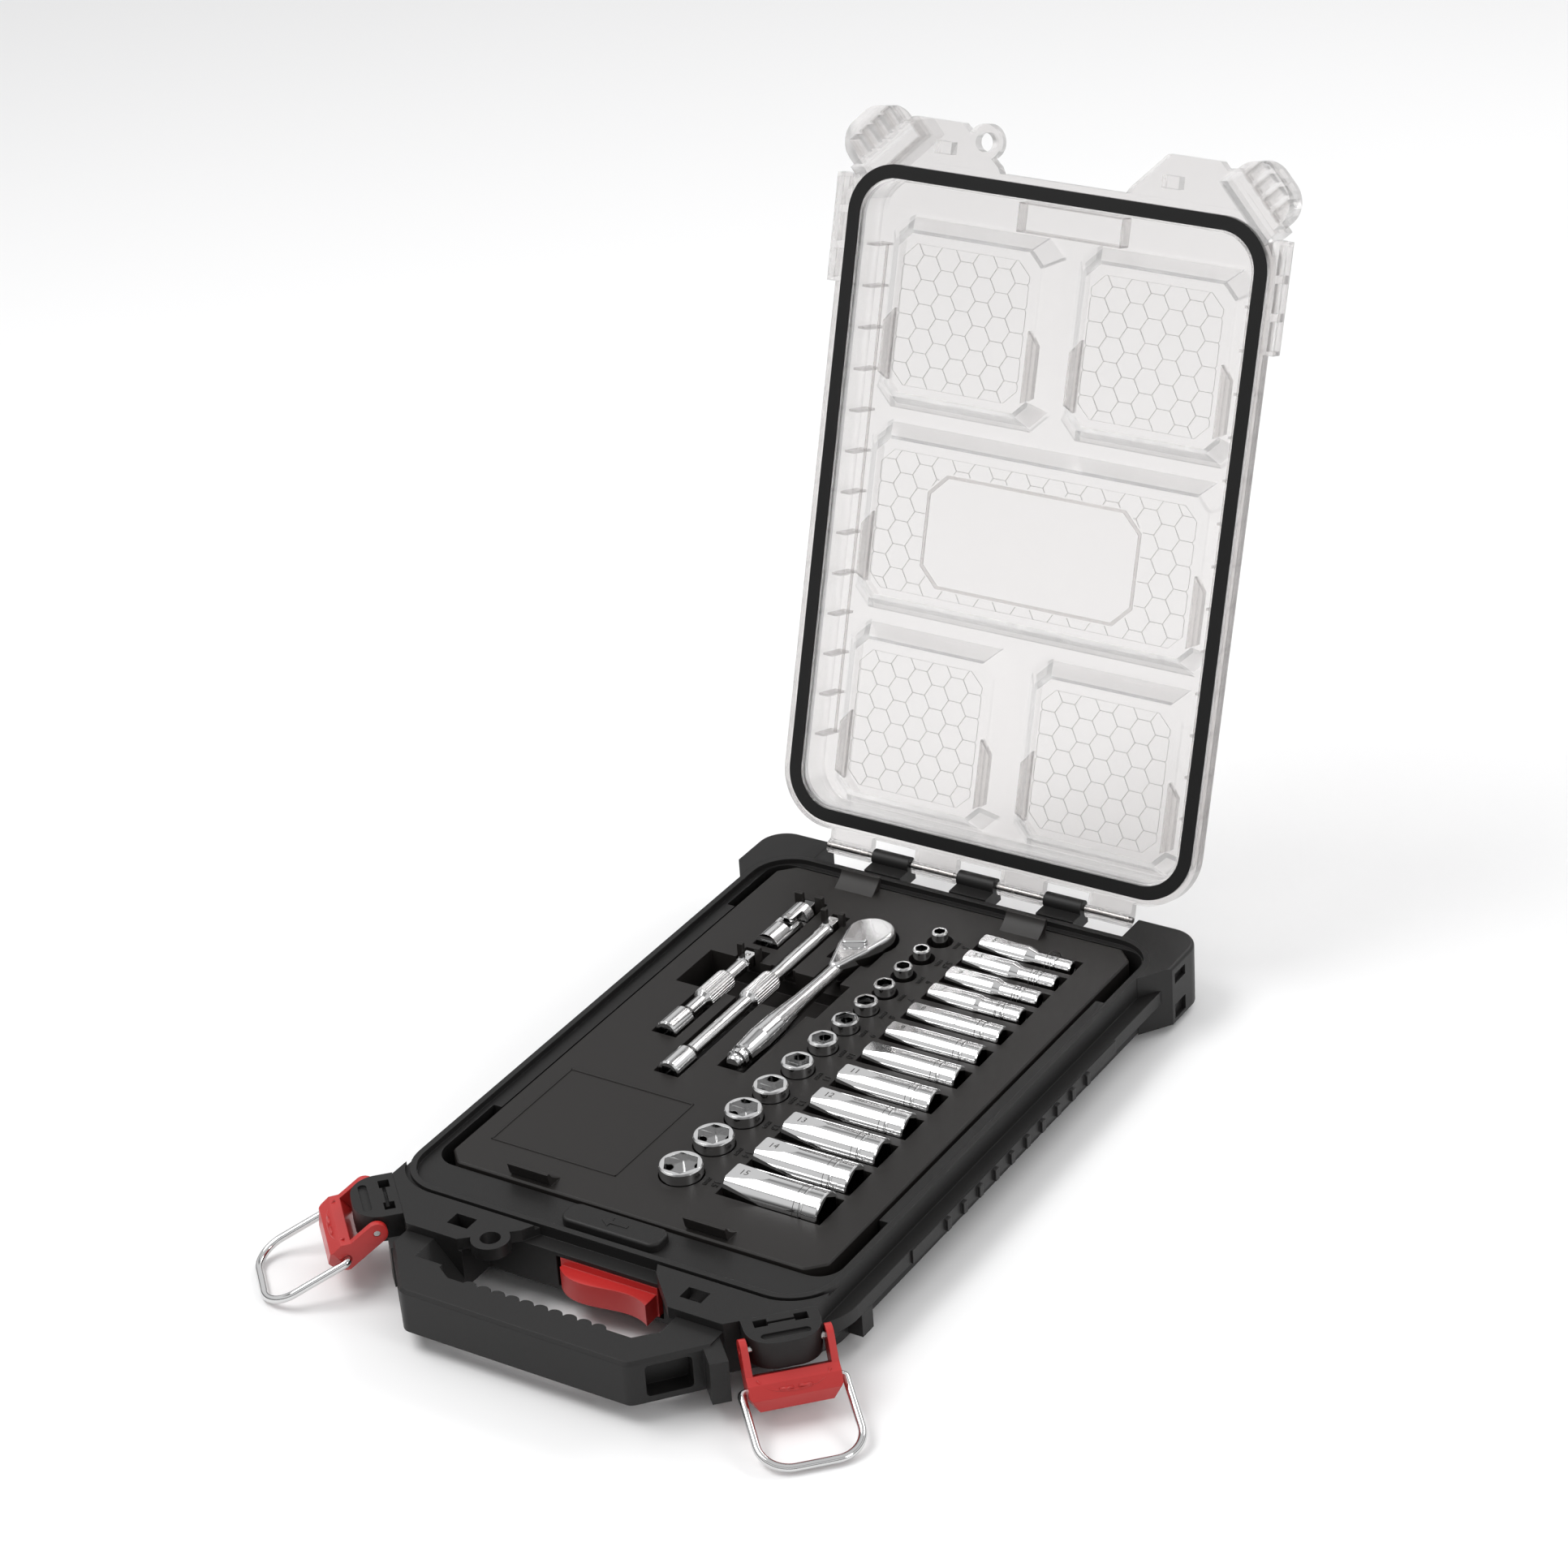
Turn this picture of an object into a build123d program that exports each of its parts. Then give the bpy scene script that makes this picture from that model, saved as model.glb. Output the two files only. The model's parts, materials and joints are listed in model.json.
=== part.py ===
"""Socket wrench set in its low-profile organiser case, in millimetres.

The origin is the centre of the case's bottom face, +Z is up, +Y points at the hinge.
The lid stands open and both corner latches are swung out: that is the rest pose.
"""

import os
from math import cos, radians, sin, sqrt

from build123d import *

os.makedirs("parts", exist_ok=True)

# ---- Case -----------------------------------------------------------------------------
RIM_W, RIM_L, RIM_R = 226, 332, 24  # outline of the sealing ridge
RIM_Z = 36  # top of the sealing ridge
LID_TOP = 64  # height of the closed case
FOOT_H = 5  # feet below the tub's floor
FLOOR_T = 3
FEET = ((-54, -94, 78), (54, -94, 78), (0, 9.5, 186), (-54, 113, 78), (54, 113, 78))  # x, y, width
FOOT_L = 74
WALL = 3
RIDGE_W, RIDGE_H = 3, 3
MOAT_W = 2.2  # groove outside the ridge, as deep as wide
TRAY_W, TRAY_L, TRAY_Y = 202, 298, 8.5  # tray outline and its centre along Y
TRAY_TOP = RIM_Z - 1.5
TRAY_GAP = 1.5  # tray to the tub's side ledges and front shelf
CORNER_GAP = 6  # tray to the tub at the four corners
FIT = 0.3  # moulded parts that close on each other
RUN = 0.08  # radial running clearance of pins and wire
FLANGE_OUT, FLANGE_Z, FLANGE_T = 7.5, 18, 7
DECK_T = 6
FRONT_Y = -231  # front face of the carrying handle
REAR_Y = 185  # rear face of the bumpers
SIDE_X = 124  # outer face of the bumpers

# ---- Corner latches: each corner is cut at 45 degrees ------------------------------------
CORNER_X, CORNER_Y = 98.5, -178  # middle of the cut
CUT = 14.5  # half the cut's extent along X and along Y
LATCH_SHIFT = 4  # latch centre, rearward along the cut
LOBE_W, LOBE_OUT, LOBE_LOW, LOBE_TOP = 34, 21, 23, RIM_Z + FIT
PIVOT_OUT, PIVOT_Z, PIVOT_R = 13, 30, 1.5
LEVER_W, LEVER_LONG, LEVER_NEAR = 41, 27, 11.4
BAIL_R, BAIL_ARM, BAIL_REACH, BAIL_ROUND = 1.9, 18, 42, 14
LEVER_REST = {"left": 36, "right": 58}  # degrees below level
LEVER_TAPER = 5
GUARD_OUT = {"left": 9, "right": 20}
BAIL_REST = {"left": 24, "right": 17}  # degrees below level

# ---- Hinge and lid ------------------------------------------------------------------------
HINGE_Y, HINGE_Z = 179.5, 37.5
LID_OPEN = 107.8
KNUCKLE_R, ROD_R = 4, 1.5
KNUCKLE_GAP = 1.0
BASE_KNUCKLES, BASE_KNUCKLE_W = (-49.5, 0, 49.5), 21
LID_KNUCKLES, LID_KNUCKLE_W = (-74.5, -24.8, 24.8, 74.5), 24
LID_LOW = RIM_Z + 0.6
SEAL_W, SEAL_T = 7, 3.7
LID_FLANGE_Z = 43
LID_T = 2.5
POCKET_DEEP, POCKET_DRAFT, POCKET_CUT = 10.5, 7, 9
POCKET_X, POCKET_GAP_X, POCKET_Y0, POCKET_LONG, POCKET_GAP_Y = 100, 11, -141, 94, 9.5

# ---- Carrying handle and padlock eye -------------------------------------------------------
HANDLE_LOW, HANDLE_TOP, HANDLE_BAR = 10, RIM_Z - 4, 17
HANDLE_X, HANDLE_BEND_Y, HANDLE_FRONT_X = CORNER_X - CUT, -204, 60
ROOT_Y = CORNER_Y - CUT  # where the handle meets the case
GRIP_X0, GRIP_X1, WALL_Y = -54, 60, -174  # ends and back wall of the grip opening
EYE_X, EYE_Y, EYE_R, EYE_HOLE = -43, -185, 9, 4.75
KEEPER_X, KEEPER_Y, KEEPER_W, KEEPER_D = 62, -180, 11, 8

# ---- Details of the case ---------------------------------------------------------------------
GRIP_RIBS, GRIP_RIB_X0, GRIP_RIB_PITCH = 10, -34, 7.6
BUMPER_X, BUMPER_Z0, BUMPER_Z1 = 88.5, 4, RIM_Z
RAIL_X, RAIL_RIBS, RAIL_RIBS_Y = 121.5, 10, (-66, 66)
LOCK_X0, LOCK_X1, LOCK_Z0, LOCK_Z1, LOCK_BACK = -16, 40, 12, 28, -163

BOSS_OUT, BOSS_TOP = 19, 51.5
EYE_Z0 = RIM_Z - 2
LUG_Y, LUG_LONG, LUG_H = -133, 54, 8
CLIP_TOP = TRAY_TOP + 7
TABS = ((-54, -134, -1), (41, -134, -1), (-54, 151, 1), (41, 151, 1))  # x, y, facing
TAB_W, TAB_H, TAB_T, TAB_REACH = 22, 7, 1.8, 4

# ---- Sockets: size, shallow socket's place and deep socket's place along Y -------------------
SOCKETS = (
    (15, -102.6, -98.4),
    (14, -76.1, -73.6),
    (13, -51.4, -49.3),
    (12, -28.8, -25.2),
    (11, -5.8, -2.0),
    (10, 16.0, 21.0),
    (9, 35.6, 41.8),
    (8, 54.0, 61.8),
    (7, 71.5, 81.3),
    (6, 89.3, 98.5),
    (5.5, 107.1, 115.4),
    (5, 125.0, 131.6),
)
DRIVE = 6.35  # quarter-inch square drive
DRIVE_OD, DRIVE_DEEP, DRIVE_SLACK = 12, 8.5, 0.15
NUT_SLACK = 0.15
SHALLOW_LONG, SHALLOW_TOP, SHALLOW_RIGHT = 25, RIM_Z + 4.5, 15.2
DEEP_LONG, DEEP_X0, DEEP_X1 = 50, 27, 82
POCKET_SLACK = 0.5

NUT_DEEP, DEEP_BORE = 11, 24
NECK_AT, FLAT_SHARE = 0.52, 0.8  # where the flats run out, and how near they lie at the drive end

# ---- Long tools, all lying along Y -------------------------------------------------------------
RATCHET_X, HEAD_Y, HEAD_R, HEAD_LOW, HEAD_TOP, RATCHET_END = -22, 111, 12.4, 30, 41, -17
SELECTOR_Y = 96
HANDLE_Z = 36
LONG_X, LONG_Y0, LONG_Y1 = -47.3, -34, 119
SHORT_X, SHORT_Y0, SHORT_Y1 = -67.5, -5, 73
TOOL_Z = 34
ROD_D, FEMALE_D, FEMALE_LONG, KNURL_D, KNURL_LONG = 7.5, 12, 16, 10.5, 21
UJ_X, UJ_Y, UJ_Y0, UJ_Y1, UJ_D = -66.5, 106, 85, 127.5, 13
DRIVE_NECK_R, SELECTOR_R = 6.5, 5.2
DRIVE_LONG, BALL_R, PIN_R = 8, 1.2, 1.6
RECESS = (-89, -9, 37, 69)  # finger recess: low x, high x, low y, high y
RECESS_Z = 20


def outer_d(size):
    """Outer diameter of a socket's nut end."""
    return 1.24 * size + 2.0


def socket_name(size):
    return str(size).replace(".", "_")


def keep(name, part):
    """Labels one finished piece and writes it to its own STEP file."""
    part.label = name
    export_step(part, f"parts/{name}.step")


def slab(x0, x1, y0, y1, z0, z1, mode=Mode.ADD):
    """A box between two corners, inside the part being built."""
    with BuildSketch(Plane.XY.offset(z0)) as outline:
        with Locations(((x0 + x1) / 2, (y0 + y1) / 2)):
            Rectangle(x1 - x0, y1 - y0)
    extrude(outline.sketch, amount=z1 - z0, mode=mode)


def plate(points, z0, z1, mode=Mode.ADD, plane=Plane.XY):
    """A prism over a straight-sided outline, inside the part being built."""
    with BuildSketch(plane.offset(z0)) as outline:
        with BuildLine():
            Polyline(*points, close=True)
        make_face()
    extrude(outline.sketch, amount=z1 - z0, mode=mode)


def rounded(width, length, radius, z0, z1, mode=Mode.ADD, y=0, plane=Plane.XY):
    """A prism over a round-cornered rectangle, inside the part being built."""
    with BuildSketch(plane.offset(z0)) as outline:
        with Locations((0, y)):
            RectangleRounded(width, length, radius)
    extrude(outline.sketch, amount=z1 - z0, mode=mode)


def rod(plane, radius, length, mode=Mode.ADD):
    """A cylinder from a plane's origin along its normal, inside the part being built."""
    with BuildSketch(plane) as outline:
        Circle(radius)
    extrude(outline.sketch, amount=length, mode=mode)


# The lid's own frame: its coordinates are those of the closed lid.
TURN = radians(LID_OPEN)
LID = Plane(
    origin=(
        0,
        HINGE_Y - cos(TURN) * HINGE_Y - sin(TURN) * HINGE_Z,
        HINGE_Z + sin(TURN) * HINGE_Y - cos(TURN) * HINGE_Z,
    ),
    x_dir=(1, 0, 0),
    z_dir=(0, sin(TURN), cos(TURN)),
)

# Each corner's frame: x along the cut, towards the rear on both sides, y inward, z up.
HALF = sqrt(0.5)


def corner(side, base=Plane.XY):
    """Frame at the middle of a corner cut. Its y is inward; outward distances are negative."""
    sign = -1 if side == "left" else 1
    across = base.x_dir * (sign * CORNER_X) + base.y_dir * CORNER_Y
    along = base.x_dir * HALF + base.y_dir * (sign * HALF)
    return Plane(origin=base.origin + across, x_dir=along, z_dir=base.z_dir)


def rearward(side):
    """Direction of the rear along a corner frame's x."""
    return -1 if side == "left" else 1


def deck_outline(side):
    """Front deck between the cut corner and the grip opening."""
    sign = -1 if side == "left" else 1
    reach = RIM_W / 2
    tail = 34 if side == "left" else 38
    points = [
        (reach, CORNER_Y + CUT + 30),
        (CORNER_X + CUT, CORNER_Y + CUT),
        (CORNER_X - CUT, CORNER_Y - CUT),
        (56, ROOT_Y),
        (tail, WALL_Y),
        (tail - 6, -RIM_L / 2 + WALL),
    ]
    return [(sign * x, y) for x, y in points]


CAVITY_W = TRAY_W + 2 * CORNER_GAP
CAVITY_FRONT = TRAY_Y - TRAY_L / 2 - TRAY_GAP
CAVITY_REAR = RIM_L / 2 - WALL - 3
FLOOR_Z = FOOT_H + FLOOR_T
SHELF_Z = RIM_Z - RIDGE_H

# ---- Base shell: tub, ridge, flange, front decks, base knuckles -------------------------------
with BuildPart() as base_shell:
    rounded(RIM_W, RIM_L, RIM_R, FOOT_H, RIM_Z)
    rounded(RIM_W + 2 * FLANGE_OUT, RIM_L + 8, RIM_R + 4, FLANGE_Z, FLANGE_Z + FLANGE_T)
    for side in ("left", "right"):
        sign = -1 if side == "left" else 1
        inner = abs(GRIP_X0) if side == "left" else GRIP_X1
        corner_body = [
            (RIM_W / 2, CORNER_Y + CUT + 20),
            (CORNER_X + CUT, CORNER_Y + CUT),
            (CORNER_X - CUT, CORNER_Y - CUT),
            (inner, ROOT_Y),
            (inner, -RIM_L / 2 + WALL),
        ]
        plate([(sign * x, y) for x, y in corner_body], HANDLE_LOW, RIM_Z - DECK_T)
        plate(deck_outline(side), RIM_Z - DECK_T, RIM_Z)
    with BuildSketch(Plane.XY.offset(RIM_Z - DECK_T)):
        with Locations((EYE_X, EYE_Y)):
            Circle(EYE_R)
    extrude(amount=DECK_T)
    slab(GRIP_X0, GRIP_X1, WALL_Y, -RIM_L / 2 + WALL, HANDLE_LOW, RIM_Z - DECK_T)
    # the cavity that holds the tray, the recess inside the ridge and the front shelf
    cavity_mid = (CAVITY_FRONT + CAVITY_REAR) / 2
    rounded(CAVITY_W, CAVITY_REAR - CAVITY_FRONT, 12, FLOOR_Z, RIM_Z, Mode.SUBTRACT, cavity_mid)
    rounded(
        RIM_W - 2 * RIDGE_W, RIM_L - 2 * RIDGE_W, RIM_R - RIDGE_W,
        RIM_Z - RIDGE_H, RIM_Z, Mode.SUBTRACT,
    )  # fmt: skip
    shelf_back = CAVITY_FRONT - WALL
    shelf_front = -RIM_L / 2 + WALL
    with BuildSketch(Plane.XY.offset(FOOT_H)):
        with Locations((0, (shelf_back + shelf_front) / 2)):
            Rectangle(RIM_W - 2 * RIM_R, shelf_back - shelf_front)
    extrude(amount=SHELF_Z - 2 * WALL - FOOT_H, mode=Mode.SUBTRACT)
    # side ledges that locate the tray between its four open corners
    ledge_in = TRAY_W / 2 + TRAY_GAP
    for sign in (-1, 1):
        x0, x1 = sorted((sign * ledge_in, sign * (CAVITY_W / 2 + 1)))
        slab(x0, x1, -92, 112, FLOOR_Z, RIM_Z - RIDGE_H)
    # five feet that drop into the pockets of a case below
    for x, y, width in FEET:
        with BuildSketch(Plane.XY):
            with Locations((x, y)):
                foot = Rectangle(width, FOOT_L)
                chamfer(foot.vertices(), 10)
        extrude(amount=FOOT_H)
    # base knuckles
    for x in BASE_KNUCKLES:
        left = x - BASE_KNUCKLE_W / 2
        rod(Plane(origin=(left, HINGE_Y, HINGE_Z), z_dir=(1, 0, 0)), KNUCKLE_R, BASE_KNUCKLE_W)
        slab(left, left + BASE_KNUCKLE_W, RIM_L / 2 - 1, HINGE_Y, HINGE_Z - 10, HINGE_Z - 2)
        slab(left, left + BASE_KNUCKLE_W, HINGE_Y - 1, HINGE_Y + KNUCKLE_R, HINGE_Z - 10, HINGE_Z)
    rod(
        Plane(origin=(-90, HINGE_Y, HINGE_Z), z_dir=(1, 0, 0)), ROD_R + RUN, 180, Mode.SUBTRACT
    )
    # moat in the decks, outside the ridge
    with BuildSketch(Plane.XY.offset(RIM_Z)):
        RectangleRounded(RIM_W + 2 * MOAT_W, RIM_L + 2 * MOAT_W, RIM_R + MOAT_W)
        RectangleRounded(RIM_W, RIM_L, RIM_R, mode=Mode.SUBTRACT)
    extrude(amount=-MOAT_W, mode=Mode.SUBTRACT)
    # padlock eye and keeper pockets
    with BuildSketch(Plane.XY.offset(RIM_Z - DECK_T - 1)):
        with Locations((EYE_X, EYE_Y)):
            Circle(EYE_HOLE)
    extrude(amount=DECK_T + 2, mode=Mode.SUBTRACT)
    for sign in (-1, 1):
        slab(
            sign * KEEPER_X - KEEPER_W / 2, sign * KEEPER_X + KEEPER_W / 2,
            KEEPER_Y - KEEPER_D / 2, KEEPER_Y + KEEPER_D / 2,
            RIM_Z - 9, RIM_Z, Mode.SUBTRACT,
        )  # fmt: skip
    # opening behind the grip for the stack lock
    slab(LOCK_X0, LOCK_X1, WALL_Y, LOCK_BACK, LOCK_Z0, LOCK_Z1, Mode.SUBTRACT)
keep("base_shell", base_shell.part)

# ---- Front handle: the carrying loop, with finger ribs and open pockets at its bends ----------
with BuildPart() as front_handle:
    bend = HANDLE_X - HANDLE_FRONT_X
    plate(
        [
            (-HANDLE_X, ROOT_Y), (-HANDLE_X, HANDLE_BEND_Y), (-HANDLE_FRONT_X, FRONT_Y),
            (HANDLE_FRONT_X, FRONT_Y), (HANDLE_X, HANDLE_BEND_Y), (HANDLE_X, ROOT_Y),
        ],
        HANDLE_LOW, HANDLE_TOP,
    )  # fmt: skip
    fillet(front_handle.edges().filter_by(Axis.Z).group_by(Axis.Y)[0], 6)
    chamfer(front_handle.faces().sort_by(Axis.Z)[-1].edges().group_by(Axis.Y)[0], 1.5)
    grip_front = FRONT_Y + HANDLE_BAR
    plate(
        [
            (GRIP_X0, ROOT_Y + 1), (GRIP_X0, grip_front + 5), (GRIP_X0 + 8, grip_front),
            (GRIP_X1 - 9, grip_front), (GRIP_X1, grip_front + 9), (GRIP_X1, ROOT_Y + 1),
        ],
        HANDLE_LOW - 1, HANDLE_TOP + 1, Mode.SUBTRACT,
    )  # fmt: skip
    # sloped finger hollow at the left end of the opening
    with BuildSketch(Plane.XZ.offset(-ROOT_Y)):
        with BuildLine():
            Polyline(
                (GRIP_X0 - 16, HANDLE_TOP + 1), (GRIP_X0 - 15, HANDLE_TOP),
                (GRIP_X0 + 1, HANDLE_LOW + 4), (GRIP_X0 + 1, HANDLE_TOP + 1), close=True,
            )  # fmt: skip
        make_face()
    extrude(amount=ROOT_Y - grip_front - 7, mode=Mode.SUBTRACT)
    # finger ribs along the back of the bar
    for n in range(GRIP_RIBS):
        x = GRIP_RIB_X0 + n * GRIP_RIB_PITCH
        with BuildSketch(Plane.XY.offset(HANDLE_LOW)):
            with Locations((x, grip_front)):
                Ellipse(GRIP_RIB_PITCH / 2 - 0.4, 2.4)
        extrude(amount=HANDLE_TOP - HANDLE_LOW)
    # open pockets in the slanted ends
    for sign in (-1, 1):
        middle = ((HANDLE_FRONT_X + HANDLE_X) / 2, (FRONT_Y + HANDLE_BEND_Y) / 2)
        out = Vector(-(FRONT_Y - HANDLE_BEND_Y) * sign, -bend, 0).normalized()
        face = Plane(
            origin=(sign * middle[0], middle[1], (HANDLE_LOW + HANDLE_TOP) / 2),
            x_dir=(0, 0, 1), z_dir=tuple(out),
        )  # fmt: skip
        with BuildSketch(face):
            RectangleRounded(16, 21, 2)
        extrude(amount=-9, mode=Mode.SUBTRACT)
    # guards beside the latches
    for side in ("left", "right"):
        guard = corner(side)
        x0, x1 = sorted((-rearward(side) * 22.5, -rearward(side) * 31))
        plate(
            [(x0, -GUARD_OUT[side]), (x1, -GUARD_OUT[side]), (x1, 0), (x0, 0)],
            HANDLE_LOW, HANDLE_TOP - 1, plane=guard,
        )  # fmt: skip
    # the guards stop at the case
    for side in ("left", "right"):
        sign = -1 if side == "left" else 1
        plate(
            [
                (sign * (CORNER_X + CUT + 9), CORNER_Y + CUT + 9),
                (sign * (CORNER_X - CUT), CORNER_Y - CUT),
                (sign * (CORNER_X - CUT - 9), ROOT_Y), (sign * 30, ROOT_Y), (sign * 30, -150),
                (sign * 108, -150),
            ],
            HANDLE_LOW - 1, HANDLE_TOP + 1, Mode.SUBTRACT,
        )  # fmt: skip
keep("front_handle", front_handle.part)

# ---- Rear bumpers: round outer corner, two open pockets in the side ----------------------------
for side in ("left", "right"):
    sign = -1 if side == "left" else 1
    with BuildPart() as rear_bumper:
        plate(
            [
                (sign * BUMPER_X, RIM_L / 2), (sign * BUMPER_X, REAR_Y), (sign * SIDE_X, REAR_Y),
                (sign * SIDE_X, 150), (sign * (RIM_W / 2), 134), (sign * 100, 134),
            ],
            BUMPER_Z0, BUMPER_Z1,
        )  # fmt: skip
        round_edge = rear_bumper.edges().filter_by(Axis.Z)
        fillet(round_edge.sort_by(lambda e: -sign * e.center().X - e.center().Y)[0], 15)
        fillet(rear_bumper.faces().sort_by(Axis.Z)[-1].edges().sort_by(Axis.Y)[-1], 2)
        # room for the tub, its flange and the ridge
        rounded(RIM_W, RIM_L, RIM_R, 0, RIM_Z + 5, Mode.SUBTRACT)
        rounded(
            RIM_W + 2 * FLANGE_OUT, RIM_L + 8, RIM_R + 4, FLANGE_Z, FLANGE_Z + FLANGE_T,
            Mode.SUBTRACT,
        )  # fmt: skip
        for z in (10, 28.5):
            with BuildSketch(Plane.YZ.offset(sign * SIDE_X)):
                with Locations((158, z)):
                    Rectangle(11, 8 if z < 20 else 5.5)
            extrude(amount=-sign * 2.5, mode=Mode.SUBTRACT)
    keep(f"rear_bumper_{side}", rear_bumper.part)

# ---- Side rails: ribbed bands on the flange -----------------------------------------------------
for side in ("left", "right"):
    sign = -1 if side == "left" else 1
    with BuildPart() as side_rail:
        x0, x1 = sorted((sign * (RIM_W / 2 + FLANGE_OUT), sign * RAIL_X))
        slab(x0, x1, -96, 96, FLANGE_Z, FLANGE_Z + FLANGE_T)
        y0, y1 = RAIL_RIBS_Y
        for n in range(RAIL_RIBS):
            y = y0 + (y1 - y0) * n / (RAIL_RIBS - 1)
            x0, x1 = sorted((sign * (RAIL_X - 0.5), sign * (RAIL_X + 1.5)))
            slab(x0, x1, y - 1.6, y + 1.6, FLANGE_Z, FLANGE_Z + FLANGE_T - 1)
        # stop block at the front end, below the flange
        x0, x1 = sorted((sign * (RIM_W / 2), sign * (RIM_W / 2 + FLANGE_OUT)))
        slab(x0, x1, -139, -130, 6, FLANGE_Z)
    keep(f"side_rail_{side}", side_rail.part)

# ---- Hinge rod ----------------------------------------------------------------------------------
with BuildPart() as hinge_rod:
    rod_half = LID_KNUCKLES[-1] + LID_KNUCKLE_W / 2 + 1
    rod(Plane(origin=(-rod_half, HINGE_Y, HINGE_Z), z_dir=(1, 0, 0)), ROD_R, 2 * rod_half)
keep("hinge_rod", hinge_rod.part)

# ---- Latches ------------------------------------------------------------------------------------
for side in ("left", "right"):
    shift = rearward(side) * LATCH_SHIFT
    frame = corner(side)
    home = Plane(
        origin=frame.origin + frame.x_dir * shift, x_dir=frame.x_dir, z_dir=frame.z_dir
    )
    pivot = home.origin - home.y_dir * PIVOT_OUT + home.z_dir * PIVOT_Z
    # black lobe that carries the pivot
    with BuildPart() as latch_lobe:
        with BuildSketch(home.offset(LOBE_LOW)) as lobe_outline:
            RectangleRounded(LOBE_W, 2 * LOBE_OUT, 13)
            with Locations((0, LOBE_OUT)):
                Rectangle(LOBE_W, 2 * LOBE_OUT, mode=Mode.SUBTRACT)
        extrude(amount=LOBE_TOP - LOBE_LOW)
        rod(Plane(origin=pivot - home.x_dir * 25, z_dir=home.x_dir), PIVOT_R + RUN, 50, Mode.SUBTRACT)
        # slots that show in the top
        for x in (-9, 9):
            with BuildSketch(home.offset(LOBE_TOP)):
                with Locations((x, -5)):
                    Rectangle(6, 5)
            extrude(amount=-4, mode=Mode.SUBTRACT)
        with BuildSketch(home.offset(LOBE_TOP)):
            with Locations((0, -5.5)):
                Rectangle(14, 1.6)
        extrude(amount=-2.5, mode=Mode.SUBTRACT)
        with BuildSketch(home.offset(LOBE_TOP)):
            with Locations((0, -15)):
                RectangleRounded(22, 4, 1.9)
        extrude(amount=-1.2, mode=Mode.SUBTRACT)
    keep(f"latch_lobe_{side}", latch_lobe.part)
    # steel pivot pin
    with BuildPart() as latch_pin:
        rod(
            Plane(origin=pivot - home.x_dir * (LEVER_W / 2 - 0.4), z_dir=home.x_dir),
            PIVOT_R, LEVER_W - 0.8,
        )  # fmt: skip
    keep(f"latch_pin_{side}", latch_pin.part)

    # lever: its frame has x along the pivot, y down the lever and z out of its face
    tilt = radians(LEVER_REST[side])
    down = -home.y_dir * cos(tilt) - home.z_dir * sin(tilt)
    face_out = -home.y_dir * sin(tilt) + home.z_dir * cos(tilt)
    along = down.cross(face_out)
    lever = Plane(origin=pivot, x_dir=along, z_dir=face_out)
    with BuildPart() as latch_lever:
        # cross-section of the grip, seen along the pivot
        profile = Plane(origin=lever.origin - lever.x_dir * (LEVER_W / 2), x_dir=lever.y_dir, z_dir=lever.x_dir)
        with BuildSketch(profile):
            with BuildLine():
                Polyline(
                    (LEVER_NEAR, -5), (LEVER_NEAR, 5), (LEVER_NEAR + 4, 7.5), (LEVER_LONG - 5, 7),
                    (LEVER_LONG, 2), (LEVER_LONG - 1, -3), (LEVER_LONG - 5, -5), close=True,
                )  # fmt: skip
            make_face()
        extrude(amount=LEVER_W)
        # corners taken off at the far end
        for way in (-1, 1):
            tip = lever.origin + lever.x_dir * (way * LEVER_W / 2) + lever.y_dir * LEVER_LONG
            cut = Plane(origin=tip, x_dir=lever.x_dir * -way, z_dir=lever.z_dir * -way)
            corner_cut = [(-1, -LEVER_TAPER * 1.6), (LEVER_TAPER, 1), (-1, 1)]
            plate(corner_cut, -15, 15, Mode.SUBTRACT, cut)
        # ears on both sides of the lobe
        ear_t = (LEVER_W - LOBE_W) / 2 - FIT
        for start in (0, LEVER_W - ear_t):
            ear = Plane(origin=profile.origin + profile.z_dir * start, x_dir=profile.x_dir, z_dir=profile.z_dir)
            with BuildSketch(ear):
                Circle(5)
                with Locations((LEVER_NEAR / 2 + 1, 0)):
                    Rectangle(LEVER_NEAR + 2, 10)
            extrude(amount=ear_t)
        rod(Plane(origin=profile.origin, z_dir=lever.x_dir), PIVOT_R + RUN, LEVER_W, Mode.SUBTRACT)
        # bail holes in both sides
        bail_at = lever.origin + lever.y_dir * BAIL_ARM
        for way in (-1, 1):
            mouth = bail_at + lever.x_dir * (way * LEVER_W / 2)
            rod(Plane(origin=mouth, z_dir=lever.x_dir * -way), BAIL_R + RUN, 5, Mode.SUBTRACT)
    keep(f"latch_lever_{side}", latch_lever.part)

    # wire bail
    dip = radians(BAIL_REST[side])
    reach_dir = -home.y_dir * cos(dip) - home.z_dir * sin(dip)
    bail = Plane(origin=bail_at, x_dir=home.x_dir, z_dir=home.x_dir.cross(reach_dir))
    leg = LEVER_W / 2 + BAIL_R + 0.5
    toe = LEVER_W / 2 - 4.5
    with BuildPart() as latch_bail:
        with BuildLine(bail) as wire:
            FilletPolyline(
                (-toe, 0), (-leg, 0), (-leg, BAIL_REACH), (leg, BAIL_REACH), (leg, 0), (toe, 0),
                radius=[2.2, BAIL_ROUND, BAIL_ROUND, 2.2],
            )  # fmt: skip
        with BuildSketch(Plane(origin=wire.line @ 0, z_dir=wire.line % 0)):
            Circle(BAIL_R)
        sweep()
    keep(f"latch_bail_{side}", latch_bail.part)

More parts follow.
